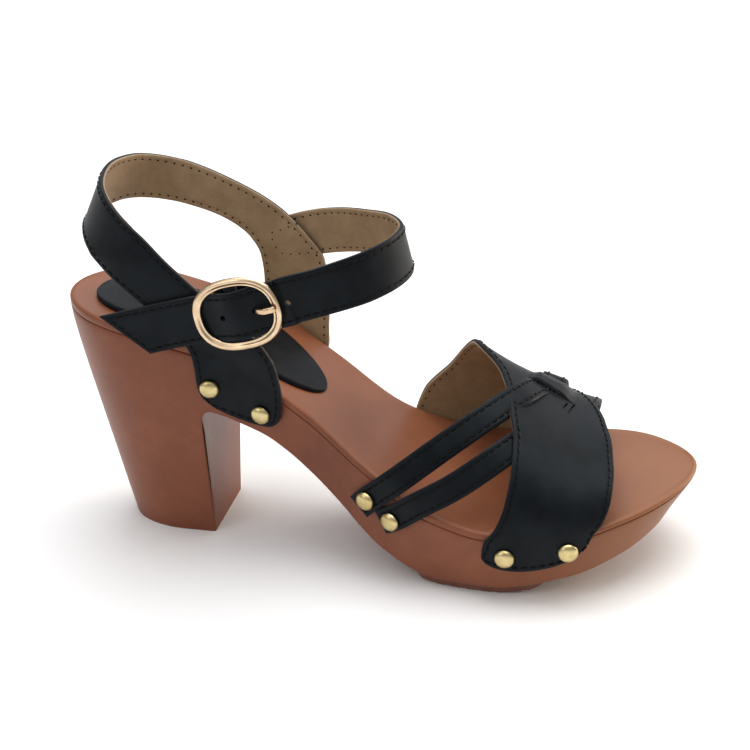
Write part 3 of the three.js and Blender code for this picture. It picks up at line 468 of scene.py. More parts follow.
def bump(tree, shader, layers):
    """Stacks heights as bumps: each layer is a socket, a strength and a depth in millimetres."""
    last = None
    for height, strength, depth in layers:
        node = add(tree, "ShaderNodeBump", Strength=strength, Distance=depth / 1000)
        tree.links.new(height, node.inputs["Height"])
        if last is not None:
            tree.links.new(last, node.inputs["Normal"])
        last = node.outputs["Normal"]
    tree.links.new(last, shader.inputs["Normal"])


def vary_roughness(tree, shader, value, low, high):
    node = add(tree, "ShaderNodeMapRange", To_Min=low, To_Max=high)
    tree.links.new(value, node.inputs["Value"])
    tree.links.new(node.outputs["Result"], shader.inputs["Roughness"])


def axis_share(tree, vector, axis, low, high):
    """How far one coordinate of a vector has gone from low to high, as a smooth share."""
    split = tree.nodes.new("ShaderNodeSeparateXYZ")
    tree.links.new(vector, split.inputs[0])
    node = add(tree, "ShaderNodeMapRange", interpolation_type="SMOOTHSTEP", From_Min=low, From_Max=high)
    tree.links.new(split.outputs[axis], node.inputs["Value"])
    return node.outputs["Result"]


print("material helpers ready")


# %% The sprayed brown of the platform
TOE_TONE, PAINTED_TOP_LIGHT = (0.305, 0.132, 0.044), (0.29, 0.12, 0.058)


def sprayed_brown(name, dark, mid, light):
    material, tree, shader = finish(name, mid, 0.45)
    where = place_of(tree)
    cloud = noise(tree, where, 38.0, 3.0, 0.5)
    mottle = noise(tree, where, 5.0, 5.0, 0.6)
    body = ramp(tree, cloud, [(0.3, dark), (0.55, mid), (0.75, light)])
    body = mix(tree, 0.22, body, ramp(tree, mottle, [(0.35, dark), (0.65, light)]))
    toe = axis_share(tree, where, "X", 40.0, 125.0)
    body = mix(tree, toe, body, mix(tree, 0.5, body, TOE_TONE))
    # painted highlight: faces that point up are mixed towards a lighter tone, for the light from above
    facing = tree.nodes.new("ShaderNodeNewGeometry")
    upward = axis_share(tree, facing.outputs["Normal"], "Z", 0.35, 0.95)
    body = mix(tree, upward, body, mix(tree, 0.35, body, PAINTED_TOP_LIGHT))
    tree.links.new(body, shader.inputs["Base Color"])
    peel = noise(tree, where, 1.6, 3.0, 0.5)
    fine = noise(tree, where, 0.35, 2.0, 0.5)
    bump(tree, shader, [(peel, 0.12, 0.12), (fine, 0.1, 0.03)])
    vary_roughness(tree, shader, mottle, 0.36, 0.5)
    shader.inputs["Specular IOR Level"].default_value = 0.3
    shader.inputs["Coat Weight"].default_value = 0.05
    shader.inputs["Coat Roughness"].default_value = 0.3
    return material


moulded_brown = sprayed_brown("moulded_brown", dark=(0.145, 0.039, 0.016), mid=(0.198, 0.057, 0.0235),
                              light=(0.245, 0.077, 0.033))
print("made", moulded_brown.name)


# %% Tread rubber
def tread_rubber():
    material, tree, shader = finish("tread_brown", (0.2, 0.075, 0.045), 0.7)
    where = place_of(tree)
    cloud = noise(tree, where, 12.0, 4.0)
    dust = noise(tree, where, 1.5, 4.0, 0.7)
    body = ramp(tree, cloud, [(0.35, (0.17, 0.06, 0.036)), (0.7, (0.25, 0.095, 0.058))])
    dusty = ramp(tree, dust, [(0.5, (0.1, 0.04, 0.025)), (0.75, (0.3, 0.15, 0.1))])
    tree.links.new(mix(tree, 0.25, body, dusty), shader.inputs["Base Color"])
    bump(tree, shader, [(noise(tree, where, 0.5, 3.0), 0.4, 0.08)])
    vary_roughness(tree, shader, dust, 0.6, 0.8)
    return material


tread_brown = tread_rubber()
print("made", tread_brown.name)

# %% [markdown]
# Smooth black leather is never one flat black. It has a fine closed grain of cells under a
# millimetre, faint creases and a soft blue grey sheen where it faces the light. The lining is
# undyed pigskin in tan, with small pores and long shallow wrinkles.

# %% Black leather, its lining and its cut edge
SHEEN, SHEEN_TINT, SHINE_TINT = 0.02, (0.62, 0.72, 0.9, 1), (0.82, 0.93, 1, 1)


def black_leather(name, base, rough, shine, grain):
    material, tree, shader = finish(name, base, rough)
    where = place_of(tree)
    cells = add(tree, "ShaderNodeTexVoronoi", feature="DISTANCE_TO_EDGE", Scale=1.0 / grain)
    tree.links.new(where, cells.inputs["Vector"])
    closed = ramp(tree, cells.outputs["Distance"], [(0.0, (0, 0, 0)), (0.14, (1, 1, 1))])
    cloud = noise(tree, where, 9.0, 4.0)
    crease = noise(tree, where, 3.2, 6.0, 0.62)
    lighter = tuple(c * 1.9 + 0.002 for c in base)
    tree.links.new(ramp(tree, cloud, [(0.35, base), (0.75, lighter)]), shader.inputs["Base Color"])
    bump(tree, shader, [(crease, 0.16, 0.2), (closed, 0.16, 0.05)])
    vary_roughness(tree, shader, crease, rough - 0.06, rough + 0.1)
    shader.inputs["Specular IOR Level"].default_value = shine
    shader.inputs["Specular Tint"].default_value = SHINE_TINT
    shader.inputs["Sheen Weight"].default_value = SHEEN
    shader.inputs["Sheen Roughness"].default_value = 0.45
    shader.inputs["Sheen Tint"].default_value = SHEEN_TINT
    return material


def tan_lining():
    material, tree, shader = finish("tan_lining", (0.34, 0.235, 0.13), 0.62)
    where = place_of(tree)
    cloud = noise(tree, where, 7.0, 5.0, 0.6)
    pores = add(tree, "ShaderNodeTexVoronoi", feature="F1", Scale=1.0 / 0.8)
    tree.links.new(where, pores.inputs["Vector"])
    dots = ramp(tree, pores.outputs["Distance"], [(0.1, (0, 0, 0)), (0.4, (1, 1, 1))])
    tans = [(0.3, (0.285, 0.186, 0.098)), (0.52, (0.335, 0.224, 0.122)), (0.72, (0.372, 0.259, 0.145))]
    body = ramp(tree, cloud, tans)
    body = mix(tree, 0.18, body, mix(tree, 1.0, body, dots, "MULTIPLY"))
    tree.links.new(body, shader.inputs["Base Color"])
    wrinkle = noise(tree, where, 2.6, 6.0, 0.68)
    bump(tree, shader, [(wrinkle, 0.5, 0.25), (dots, 0.35, 0.08)])
    vary_roughness(tree, shader, wrinkle, 0.5, 0.72)
    return material


def cut_edge(name, base, light, shine):
    material, tree, shader = finish(name, base, 0.75)
    where = place_of(tree)
    fibre = noise(tree, where, 0.45, 6.0, 0.7)
    tree.links.new(ramp(tree, fibre, [(0.35, base), (0.7, light)]), shader.inputs["Base Color"])
    bump(tree, shader, [(fibre, 0.6, 0.12)])
    vary_roughness(tree, shader, fibre, 0.6, 0.85)
    shader.inputs["Specular IOR Level"].default_value = shine
    return material


outer_leather = black_leather("black_leather", (0.0028, 0.0035, 0.0045), rough=0.41, shine=0.13, grain=0.9)
lining = tan_lining()
raw_edge = cut_edge("raw_edge", (0.08, 0.08, 0.08), (0.3, 0.29, 0.28), shine=0.5)
dyed_edge = cut_edge("dyed_edge", (0.008, 0.008, 0.01), (0.035, 0.035, 0.04), shine=0.2)
STRAP_FINISHES = [outer_leather, lining, dyed_edge, raw_edge]
print("strap finishes:", [m.name for m in STRAP_FINISHES])


# %% Thread, sock, gold and brass
def twisted_thread(name, base, rough):
    material, tree, shader = finish(name, base, rough)
    strands = add(tree, "ShaderNodeTexWave", Scale=3.2, Distortion=0.6)
    tree.links.new(place_of(tree), strands.inputs["Vector"])
    bump(tree, shader, [(strands.outputs["Fac"], 0.5, 0.06)])
    shader.inputs["Specular IOR Level"].default_value = 0.12
    return material


def metal(name, colour, deep, rough, scratch):
    material, tree, shader = finish(name, colour, rough, 1.0)
    where = place_of(tree)
    cloud = noise(tree, where, 4.0, 4.0)
    tree.links.new(ramp(tree, cloud, [(0.35, deep), (0.65, colour)]), shader.inputs["Base Color"])
    scuff = noise(tree, where, 0.25, 3.0, 0.7)
    bump(tree, shader, [(cloud, 0.05, 0.03), (scuff, scratch, 0.004)])
    vary_roughness(tree, shader, noise(tree, where, 1.1, 5.0, 0.7), rough - 0.06, rough + 0.1)
    return material


thread = twisted_thread("black_thread", (0.002, 0.002, 0.0025), 0.5)
sock_finish = black_leather("black_sock", (0.004, 0.004, 0.005), rough=0.4, shine=0.09, grain=0.6)
gold = metal("gold_metal", (0.78, 0.6, 0.41), (0.66, 0.47, 0.29), 0.22, 0.25)
brass = metal("brass_nail", (0.7, 0.58, 0.3), (0.52, 0.41, 0.18), 0.3, 0.35)
print("made", thread.name, sock_finish.name, gold.name, brass.name)


# %% [markdown]
# ## The platform
# It is one moulding, so it is one mesh. The sections stand across the sole: those of the heel reach
# the floor, and those of the arch and forepart end at the underside. The lip under the footbed's
# edge has a rounded top and a thin groove, as on the real sole, which makes the footbed read as a
# separate board.

# %% Stations and the lip
def quarter(count, start=0):
    """Shares of a quarter turn, 0 to 1, for closer stations where a curve turns."""
    return np.sin(np.linspace(0, np.pi / 2, count)[start:])


HEEL_CORNER = 1.4
heel_stations = np.concatenate([
    HEEL_ROUND * (1 - np.cos(np.linspace(0, np.pi / 2, 26))),
    np.linspace(HEEL_ROUND, BREAST - HEEL_CORNER, 12)[1:],
    BREAST - HEEL_CORNER * (1 - quarter(6, 1)),
])
arch_stations = np.concatenate([
    BREAST + BREAST_FILLET * np.array([0, 0.02, 0.08, 0.18, 0.32, 0.5, 0.72, 1]),
    np.linspace(BREAST + BREAST_FILLET, LENGTH - TOE_ROUND, 72)[1:],
    LENGTH - TOE_ROUND * (1 - quarter(36, 1)),
])
LIP = np.array([
    (0.0, 1.5), (0.06, 1.02), (0.22, 0.66), (0.45, 0.36), (0.8, 0.12), (1.3, 0.0), (2.2, 0.0),
    (3.05, 0.0), (3.2, 0.1), (3.3, 0.4), (3.5, 0.55), (3.7, 0.4), (3.8, 0.1), (3.95, 0.0),
])
WALL_ROWS = np.linspace(0, 1, 12)[1:]
FOOT_ROWS = 10
ACROSS = np.linspace(0, 1, 22)
print(len(heel_stations) + len(arch_stations), "sections")


# %% One section of the platform
GROOVE_RISES = ((0.45, BREAST, BREAST + 30), (1.05, 0.66 * LENGTH, 0.92 * LENGTH))
GROOVE = (1.3, 3.05)


def lip_depths(x):
    """The groove comes closer to the footbed's edge along the arch, and more so at the toe."""
    rise = sum(size * smoothstep(start, end, x) for size, start, end in GROOVE_RISES)
    return LIP[:, 0] - rise * smoothstep(*GROOVE, LIP[:, 0])


def platform_side(side, x, to_floor):
    """Points of one wall from the footbed's edge down to the floor or the underside."""
    height = footbed_top(BREAST) - underside(BREAST) if x <= BREAST else wall_height(side, x)
    fillet = 0.0 if to_floor else EDGE_ROUND * smoothstep(BREAST, BREAST + 12, x)
    into = inward(side, x)
    lip = lip_depths(x)
    rows = wall_point(side, x, lip) + into * LIP[:, 1:2]
    depths = lip[-1] + (height - fillet - lip[-1]) * WALL_ROWS
    rows = [rows, wall_point(side, x, depths)]
    turn = np.linspace(0, np.pi / 2, FOOT_ROWS + 1)[1:]
    if to_floor:
        down = np.linspace(0, 1, FOOT_ROWS + 1)[1:]
        foot = wall_point(side, x, height + (footbed_top(x) - height) * down)
        foot[-1] = heel_tip(side, x)
        # the block's front corners are rounded, but not the slab above them
        corner = np.clip((x - (BREAST - HEEL_CORNER)) / HEEL_CORNER, 0, 1)
        inset = HEEL_CORNER * (1 - np.sqrt(1 - corner ** 2)) * smoothstep(0, 0.12, down)
        foot[:, 1] -= side * inset
    else:
        foot = wall_point(side, x, height - fillet * (1 - np.sin(turn)))
        foot = foot + into * (fillet * (1 - np.cos(turn)))[:, None]
    return np.concatenate(rows + [foot])


def platform_section(x, to_floor):
    outer, inner = platform_side(-1, x, to_floor), platform_side(1, x, to_floor)
    top = outer[0] + (inner[0] - outer[0]) * ACROSS[:, None]
    top[1:-1, 2] -= dish(x, top[1:-1, 1])
    bottom = inner[-1] + (outer[-1] - inner[-1]) * ACROSS[:, None]
    return np.concatenate([top, inner[1:-1], bottom, outer[1:-1][::-1]])


sections = [platform_section(x, True) for x in heel_stations]
sections += [platform_section(x, False) for x in arch_stations]
rows = np.stack(sections)
make_piece("platform", rows, run_faces(len(rows), rows.shape[1]), [moulded_brown], "moulded_brown",
           "platform_unit")


# %% [markdown]
# ## The tread
# Under the forepart a thin rubber tongue grows into a pad with ribs across. It is made as the CAD
# makes it, with the ribs' tops softened, because worn rubber has no sharp corners. The grooves end
# at a narrow rim, since the pad's side shows no notches in the photo.

# %% Tread with its ribs
TREAD = {"start": 0.4997, "pad": 0.5874, "end": 0.823, "margin": 1.0}
RIB_PITCH, RIB_DEPTH, TONGUE_THICK = 6.0, 1.0, 1.0
LAND, SLOPE, SOFT = 0.62, 0.6, 0.25
RIM_COLUMNS, RIM_DROP = (0.35, 1.6, 2.3), 0.15


def tread_section(x, thick, rim=0.0):
    start, end = LENGTH * TREAD["start"], LENGTH * TREAD["end"]
    rear = 1 - 0.35 * max(0, 1 - (x - start) / 12) ** 2
    front = 1 - 0.45 * max(0, 1 - (end - x) / 16) ** 2
    middle = BALL_WIDTH * column(FOOTBED, "centre", x / LENGTH)
    ends = []
    for side in (-1, 1):
        inset = wall_inset(side, x, wall_height(side, x)) + EDGE_ROUND + TREAD["margin"]
        ends.append(middle + (footbed_edge(side, x) - side * inset - middle) * min(rear, front))
    top = underside(x) - SEAM
    y = np.linspace(*ends, 13)
    lower = np.full(len(y), top - thick)
    lower[[0, 1, 2, -3, -2, -1]] -= rim
    lower[[0, -1]] += min(0.35, thick / 3)
    y_low = y.copy()
    for i, reach in enumerate(RIM_COLUMNS, 1):
        y_low[[i, -1 - i]] = y[[0, -1]] + np.array([reach, -reach])
    return np.concatenate([points(x, y, top), points(x, y_low, lower)[::-1]])


start, pad, end = (LENGTH * TREAD[k] for k in ("start", "pad", "end"))
sections = [tread_section(x, TONGUE_THICK) for x in np.linspace(start, pad, 14)]
first, land = pad + 1.5, RIB_PITCH * LAND
ribs = int((end - first) // RIB_PITCH)
pitch = (end - first - land) / ribs
for i in range(ribs + 1):
    x = first + pitch * i
    for step, drop in ((0, SOFT), (SOFT, 0), (land - SOFT, 0), (land, SOFT)):
        sections.append(tread_section(x + step, PAD_THICK - drop))
    if i < ribs:
        for step in (land + SLOPE, pitch - SLOPE):
            sections.append(tread_section(x + step, PAD_THICK - RIB_DEPTH, RIB_DEPTH - RIM_DROP))
rows = np.stack(sections)
make_piece("tread", rows, capped(len(rows), rows.shape[1]), [tread_brown], "tread_brown",
           "forepart_outsole", sharp=50)
print("tread:", ribs + 1, "ribs")


# %% [markdown]
# ## The heel sock
# A sock is the thin pad under the heel, here in glossy black with a turned edge. A soft roll at its
# edge and a slight crown in the middle show that there is foam below the skin. A flat slab would be
# simpler to make, but it would lie on the footbed like a piece of card.

# %% Heel sock
SOCK = {"start": 0.0433, "end": 0.416, "outer": 0.222, "inner": 0.2, "back": 22.0, "front": 33.0,
        "drift": -0.036, "thick": 1.6, "edge": 0.45, "roll": 0.035}
start, end = LENGTH * SOCK["start"], LENGTH * SOCK["end"]
turn = np.linspace(0, np.pi / 2, 22)
stations = np.concatenate([
    start + SOCK["back"] * (1 - np.cos(turn)),
    np.linspace(start + SOCK["back"], end - SOCK["front"], 16)[1:],
    end - SOCK["front"] * (1 - np.sin(turn[1:])),
])
near_edge = np.array([0, 0.012, 0.03, 0.06, 0.12])
across = np.concatenate([near_edge, np.linspace(0.2, 0.8, 7), 1 - near_edge[::-1]])


def sock_section(x):
    back = max(0, 1 - (x - start) / SOCK["back"])
    front = max(0, 1 - (end - x) / SOCK["front"])
    round_off = np.sqrt(max(0, 1 - back ** 2)) * np.sqrt(max(0, 1 - front ** 2))
    middle = BALL_WIDTH * SOCK["drift"] * front
    reach = np.where(across < 0.5, SOCK["outer"], SOCK["inner"])
    y = middle + BALL_WIDTH * reach * round_off * (2 * across - 1)
    base = footbed_top(x) - dish(x, y) + SEAM
    roll = np.sqrt(1 - np.clip(1 - np.minimum(across, 1 - across) / SOCK["roll"], 0, 1) ** 2)
    crown = 0.35 + 0.65 * min(1, round_off * 1.6)
    height = SOCK["edge"] + (SOCK["thick"] - SOCK["edge"]) * roll * crown
    return np.concatenate([points(x, y, base + height), points(x, y, base)[::-1]])


rows = np.stack([sock_section(x) for x in stations])
make_piece("heel_sock_pad", rows, run_faces(len(rows), rows.shape[1]), [sock_finish], "black_sock",
           "heel_sock", sharp=60)


# %% [markdown]
# ## Leather straps
# Each strap is black leather glued to a tan lining, sewn 2 mm from its edge and then cut, so the
# edge shows three layers: dyed leather, a pale line of raw fibre, and lining. One helper makes all
# of them from two grids of points, the outer and the inner face. It pulls the face down a little
# along the seam and at the edge, because a row of stitches presses the leather there.

# %% The edge and the seam of a grid
EDGE_STEPS = (0.14, 0.7, 0.78, 0.9)
LEATHER_FACE, LINING_FACE, DYED_EDGE, RAW_EDGE = range(4)
LAYERED_EDGE = (DYED_EDGE, DYED_EDGE, RAW_EDGE, LINING_FACE, LINING_FACE)
DYED_THROUGH = (DYED_EDGE,) * 5
STITCH_LINE, SEAM_WIDTH, EDGE_ROLL, EDGE_BULGE = 2.0, 0.4, 0.45, 0.22
PRESS = {"outer": (0.3, 0.11), "inner": (0.2, 0.12)}
SEAM_STEPS = np.array((0, 0.2, 0.5, 0.9, 1.3, 1.65, 2.0, 2.35, 2.7, 3.2))


def seam_spaced(width, inner):
    """Shares across a strap, close together by the seams."""
    near = SEAM_STEPS / width
    return np.concatenate([near, np.linspace(near[-1], 1 - near[-1], inner)[1:-1], (1 - near)[::-1]])


def edge_distance(grid):
    """How far each point of a grid is from the grid's nearest edge, in millimetres."""
    def along(axis):
        step = np.linalg.norm(np.diff(grid, axis=axis), axis=-1)
        total = np.cumsum(step, axis=axis)
        zero = np.zeros_like(np.take(total, [0], axis))
        from_start = np.concatenate([zero, total], axis)
        return np.minimum(from_start, from_start.take([-1], axis) - from_start)
    return np.minimum(along(0), along(1))


def grid_normals(grid):
    return unit(np.cross(np.gradient(grid, axis=0), np.gradient(grid, axis=1)))


def pressed(grid, other, at_edge, at_seam):
    """One face of a strap, pressed in towards the other face at its edge and along its seam."""
    away = edge_distance(grid)
    press = at_edge * np.exp(-(away / EDGE_ROLL) ** 2)
    press += at_seam * np.exp(-((away - STITCH_LINE) / SEAM_WIDTH) ** 2)
    return grid + unit(other - grid) * press[..., None]


def perimeter(rows, columns):
    ring = [(0, c) for c in range(columns)] + [(r, columns - 1) for r in range(1, rows)]
    ring += [(rows - 1, c) for c in range(columns - 2, -1, -1)] + [(r, 0) for r in range(rows - 2, 0, -1)]
    return np.array(ring)


print("the seam lies", STITCH_LINE, "mm from the edge")


# %% Leather from two grids
def leather_piece(name, outer, inner, *nodes, layers=LAYERED_EDGE, under=LINING_FACE):
    rows, columns = outer.shape[:2]
    outer, inner = pressed(outer, inner, *PRESS["outer"]), pressed(inner, outer, *PRESS["inner"])
    r, c = perimeter(rows, columns).T
    aside = unit(outer[r, c] - outer[np.clip(r, 1, rows - 2), np.clip(c, 1, columns - 2)])
    inset = EDGE_BULGE * (1 - np.sin(np.pi * np.array((0.0, *EDGE_STEPS, 1.0))))
    through = (inner - outer)[r, c]
    shelves = [outer[r, c] + through * t - aside * d for t, d in zip(EDGE_STEPS, inset[1:-1])]
    outer[r, c] -= aside * inset[0]
    inner[r, c] -= aside * inset[-1]
    corners = np.concatenate([outer.reshape(-1, 3), inner.reshape(-1, 3), *shelves])
    quads = [(a, a + 1, a + columns + 1, a + columns)
             for i in range(rows - 1) for a in range(i * columns, (i + 1) * columns - 1)]
    faces = quads + [tuple(rows * columns + k for k in quad) for quad in quads]
    marks = [LEATHER_FACE] * len(quads) + [under] * len(quads)
    count, flat = len(r), r * columns + c
    bands = [flat] + [2 * rows * columns + k * count + np.arange(count) for k in range(len(EDGE_STEPS))]
    bands.append(flat + rows * columns)
    for mark, here, there in zip(layers, bands[:-1], bands[1:]):
        ring = zip(here, np.roll(here, -1), np.roll(there, -1), there)
        faces += [tuple(map(int, quad)) for quad in ring]
        marks += [mark] * count
    return make_piece(name, corners, faces, STRAP_FINISHES, "black_leather", *nodes, sharp=50, marks=marks)


print("edge layers:", len(LAYERED_EDGE))


# %% [markdown]
# ## Stitches
# A stitch is a short run of thick thread that dips into a needle hole at both ends. Real geometry
# is best here, because each one catches its own light. All stitches of a strap share one mesh: a
# small capsule is placed again and again along the seam, a little sunk into the leather.

# %% Seams
STITCH_PITCH = 3.3


def run_length(line):
    """Length along a line of points, 0 at the first one."""
    return np.concatenate([[0], np.cumsum(np.linalg.norm(np.diff(line, axis=0), axis=1))])


def at_length(values, length, places):
    """What belongs to the points of a line, read at places along its length."""
    return np.stack([np.interp(places, length, values[:, a]) for a in range(3)], -1)


def seam_path(grid, side=1):
    """The line of a seam inside a grid's edge, and the normals there, turned round for side -1."""
    rows, columns = grid.shape[:2]
    down = run_length(grid[:, columns // 2])
    v_in, v_out = np.interp([STITCH_LINE, down[-1] - STITCH_LINE], down, np.arange(rows))
    left, right = [], []
    for v in np.linspace(v_in, v_out, rows * 2):
        away = run_length(grid[int(round(v))])
        ends = np.interp([STITCH_LINE, away[-1] - STITCH_LINE], away, np.arange(columns))
        left.append((v, ends[0]))
        right.append((v, ends[1]))
    far = [(v_out, u) for u in np.linspace(left[-1][1], right[-1][1], columns)][1:-1]
    near = [(v_in, u) for u in np.linspace(right[0][1], left[0][1], columns)][1:-1]
    track = np.array(left + far + right[::-1] + near)
    return sample(grid, track), side * unit(sample(grid_normals(grid), track))


def sample(grid, track):
    """Values of a grid between its points."""
    rows, columns = grid.shape[:2]
    v = np.clip(track[:, 0], 0, rows - 1.001)
    u = np.clip(track[:, 1], 0, columns - 1.001)
    i, j = v.astype(int), u.astype(int)
    a, b = (v - i)[:, None], (u - j)[:, None]
    return ((1 - a) * (1 - b) * grid[i, j] + (1 - a) * b * grid[i, j + 1]
            + a * (1 - b) * grid[i + 1, j] + a * b * grid[i + 1, j + 1])


def along_seam(line, normals):
    """Places on a seam, a pitch apart, each with the directions along, across and up."""
    where = run_length(line)
    number = max(1, int(where[-1] / STITCH_PITCH))
    for place in (np.arange(number) + 0.5) * where[-1] / number:
        up = unit(at_length(normals, where, place))
        ahead, behind = (at_length(line, where, place + step) for step in (0.6, -0.6))
        along = unit(ahead - behind)
        yield at_length(line, where, place), along, np.cross(up, along), up


print("a stitch every", STITCH_PITCH, "mm")


# %% Stitches and needle dots
STITCH_LENGTH, THREAD, SUNK, DOT = 2.35, 0.33, 0.05, 0.34


def full_turn(count):
    return np.arange(count) / count * 2 * np.pi


HEXAGON = full_turn(6)
CAPSULE = [(-0.5, 0.25), (-0.38, 0.85), (-0.12, 1.0), (0.12, 1.0), (0.38, 0.85), (0.5, 0.25)]


def stitches(name, line, normals):
    """One mesh with a thread capsule at every pitch along the seam."""
    corners, faces = [], []
    for at, along, across, up in along_seam(line, normals):
        wobble = dice.normal(0, 0.05, 2)
        along = unit(along + across * wobble[0])
        faces += capped(len(CAPSULE), 6, start=len(corners))
        for t, size in CAPSULE:
            dip = SUNK + 0.28 * (abs(t) * 2) ** 4 - wobble[1] * 0.4
            middle = at + along * t * STITCH_LENGTH - up * dip
            corners += [middle + (across * np.cos(a) * 1.1 + up * np.sin(a)) * THREAD * size
                        for a in HEXAGON]
    make_piece(name, corners, faces, [thread], "black_leather", sharp=60)


def lining_holes(name, *seams):
    """Small dark dots where the needle came through the lining."""
    corners, faces = [], []
    for line, normals in seams:
        for at, along, across, up in along_seam(line, normals):
            base = len(corners)
            for size, rise in ((1.0, -0.1), (0.7, 0.09)):
                corners += [at + (along * np.cos(a) * 1.5 + across * np.sin(a)) * DOT * size + up * rise
                            for a in HEXAGON]
            corners.append(at + up * 0.12)
            faces += run_faces(2, 6, start=base)
            faces += [(base + 6 + j, base + 6 + (j + 1) % 6, base + 12) for j in range(6)]
            faces.append(tuple(range(base + 5, base - 1, -1)))
    make_piece(name, corners, faces, [thread], "black_leather", sharp=60)


print("one stitch has", len(capped(len(CAPSULE), 6)), "faces")


# %% [markdown]
# ## The wide forefoot band
# The band is one shaped piece of leather over the toes, nailed to both side walls. Its table gives
# the rear and front edge at each step from the outer wall over the foot to the inner wall. Near the
# top two slits leave a bridge, which stands up a little because the rear cross strap runs below it.

# %% Band surface
VAMP = table("rear rear_turn front front_turn bulge", [
    (0.6922, -8, 0.8443, -2.5, -8), (0.6952, -2.8, 0.8554, 0.5, -1), (0.7103, 3, 0.8645, 6, 0),
    (0.7244, 18, 0.8756, 24, 0), (0.729, 37, 0.8776, 42, 0), (0.7254, 54, 0.8736, 60, 0),
    (0.7144, 68, 0.8675, 75, 0), (0.7023, 82, 0.8534, 90, 0), (0.6771, 96, 0.8343, 106, 0),
    (0.6448, 108, 0.8111, 122, 0), (0.6227, 130, 0.7839, 140, 0), (0.5924, 153, 0.7486, 160, 0),
    (0.5501, 172, 0.7174, 176, 0), (0.534, 184, 0.7053, 183, 1), (0.531, 190, 0.6952, 188, 7),
])
VAMP["at"] = np.linspace(0, 1, 15)
SLITS = {"start": 0.7255, "end": 0.803, "first": 94.0, "second": 121.0, "slant": 4.8}
BRIDGE_RISE, PARED = 2.4, 1.25
CROWN_TURNS, CROWN = [93, 97, 104, 110, 117, 122], [0.66, 0.72, 0.95, 0.9, 0.55, 0.35]


def all_columns(rows, names, at):
    return (column(rows, name, at) for name in names.split())


def first_slit(at):
    """The first slit runs a little aslant over the foot."""
    left = (SLITS["end"] - at) / (SLITS["end"] - SLITS["start"])
    return SLITS["first"] + SLITS["slant"] * np.clip(left, 0, 1)


def on_bridge(at, into, out):
    """A smooth share along the slits: it grows over into at their start and fades over out."""
    start, end = SLITS["start"], SLITS["end"]
    return smoothstep(start, start + into, at) * (1 - smoothstep(end - out, end, at))


def bridge_rise(at, turn):
    low, high = first_slit(at), SLITS["second"]
    width = smoothstep(low - 0.6, low + 0.6, turn) * (1 - smoothstep(high - 0.8, high + 0.8, turn))
    return BRIDGE_RISE * on_bridge(at, 0.014, 0.03) * width * np.interp(turn, CROWN_TURNS, CROWN)


def skive(at, turn):
    """The bridge is pared thin below its outer lip, so that a dark gap shows at the slit."""
    low = first_slit(at)
    width = smoothstep(low - 0.4, low + 0.2, turn) * (1 - smoothstep(low + 3, low + 9, turn))
    return PARED * on_bridge(at, 0.008, 0.012) * width


def band_grid(off, v, u, pared=False):
    v, u = v[:, None], u[None, :]
    rear, front, rear_turn, front_turn, bulge = all_columns(VAMP, "rear front rear_turn front_turn bulge", v)
    at = rear + (front - rear) * u
    turn = rear_turn + (front_turn - rear_turn) * u + bulge * np.sqrt(1 - (2 * u - 1) ** 2)
    return off_foot(at, turn, off + bridge_rise(at, turn) + (skive(at, turn) if pared else 0))


ends = np.array([0, 0.001, 0.003, 0.005, 0.008, 0.011, 0.014, 0.017, 0.02, 0.025])
v_rows = np.unique(np.concatenate([ends, np.linspace(0.03, 0.5, 56), np.linspace(0.5, 0.72, 64),
                                   np.linspace(0.72, 0.97, 30), 1 - ends]))
u_across = seam_spaced(36.0, 34)
band_outer = band_grid(CLEARANCE + LEATHER, v_rows, u_across)
band_inner = band_grid(CLEARANCE, v_rows, u_across, pared=True)
band = leather_piece("forefoot_band", band_outer, band_inner, "forefoot_upper")

# %% [markdown]
# The slits are cut through the band with a thin closed shape that follows the same surface, so the
# cut walls stand square to the leather. A boolean modifier does the cut and is applied at once.
# Two short cuts turn back from the first slit's front end.

# %% Cut with a shape
def cut_with(piece, tools):
    """Takes closed meshes out of a piece. The cut walls are dyed black."""
    for tool in tools:
        for material in piece.data.materials:
            tool.data.materials.append(material)
        marks = np.full(len(tool.data.polygons), DYED_EDGE, np.int32)
        tool.data.polygons.foreach_set("material_index", marks)
        saw = piece.modifiers.new("cut", "BOOLEAN")
        saw.operation = "DIFFERENCE"
        saw.solver = "EXACT"
        saw.object = tool
        graph = bpy.context.evaluated_depsgraph_get()
        result = bpy.data.meshes.new_from_object(piece.evaluated_get(graph))
        piece.modifiers.remove(saw)
        old, name = piece.data, piece.data.name
        piece.data = result
        bpy.data.meshes.remove(old)
        result.name = name
        bpy.data.objects.remove(tool)
    piece.data.set_sharp_from_angle(angle=np.radians(50))
    print(piece.name, "after", len(tools), "cuts:", len(piece.data.polygons), "faces")


def cutter(name, rows):
    """A closed tool made of sections. It is used up by the cut."""
    return linked(name, outward_mesh(name, rows, capped(*rows.shape[:2]), weld=False))


def slit_tool(at, turn, half=0.3, deep=3.5):
    """A thin closed wall that stands on the foot's surface along a line of places and turns."""
    middle = off_foot(at, turn, np.full(len(at), 2.0))
    out = foot_normal(at, turn)
    aside = unit(np.cross(unit(np.gradient(middle, axis=0)), out)) * half
    high, low = middle + out * 5, middle - out * deep
    return cutter("slit", np.stack([high - aside, high + aside, low + aside, low - aside], 1))


slit_line = np.linspace(SLITS["start"], SLITS["end"], 14)
second_slit = np.full_like(slit_line, SLITS["second"])
tools = [slit_tool(slit_line, turn) for turn in (first_slit(slit_line), second_slit)]
tab_cuts = [((0.7905, 92.6), (0.7858, 87.2)), ((0.8015, 94.4), (0.7945, 85.2))]
for (at, turn), (to_at, to_turn) in tab_cuts:
    tools.append(slit_tool(np.linspace(at, to_at, 6), np.linspace(turn, to_turn, 6), half=0.36, deep=1.0))
cut_with(band, tools)


# %% Stitches of the band
stitches("band_stitches", *seam_path(band_outer))
lining_holes("band_lining_dots", seam_path(band_inner, side=-1))

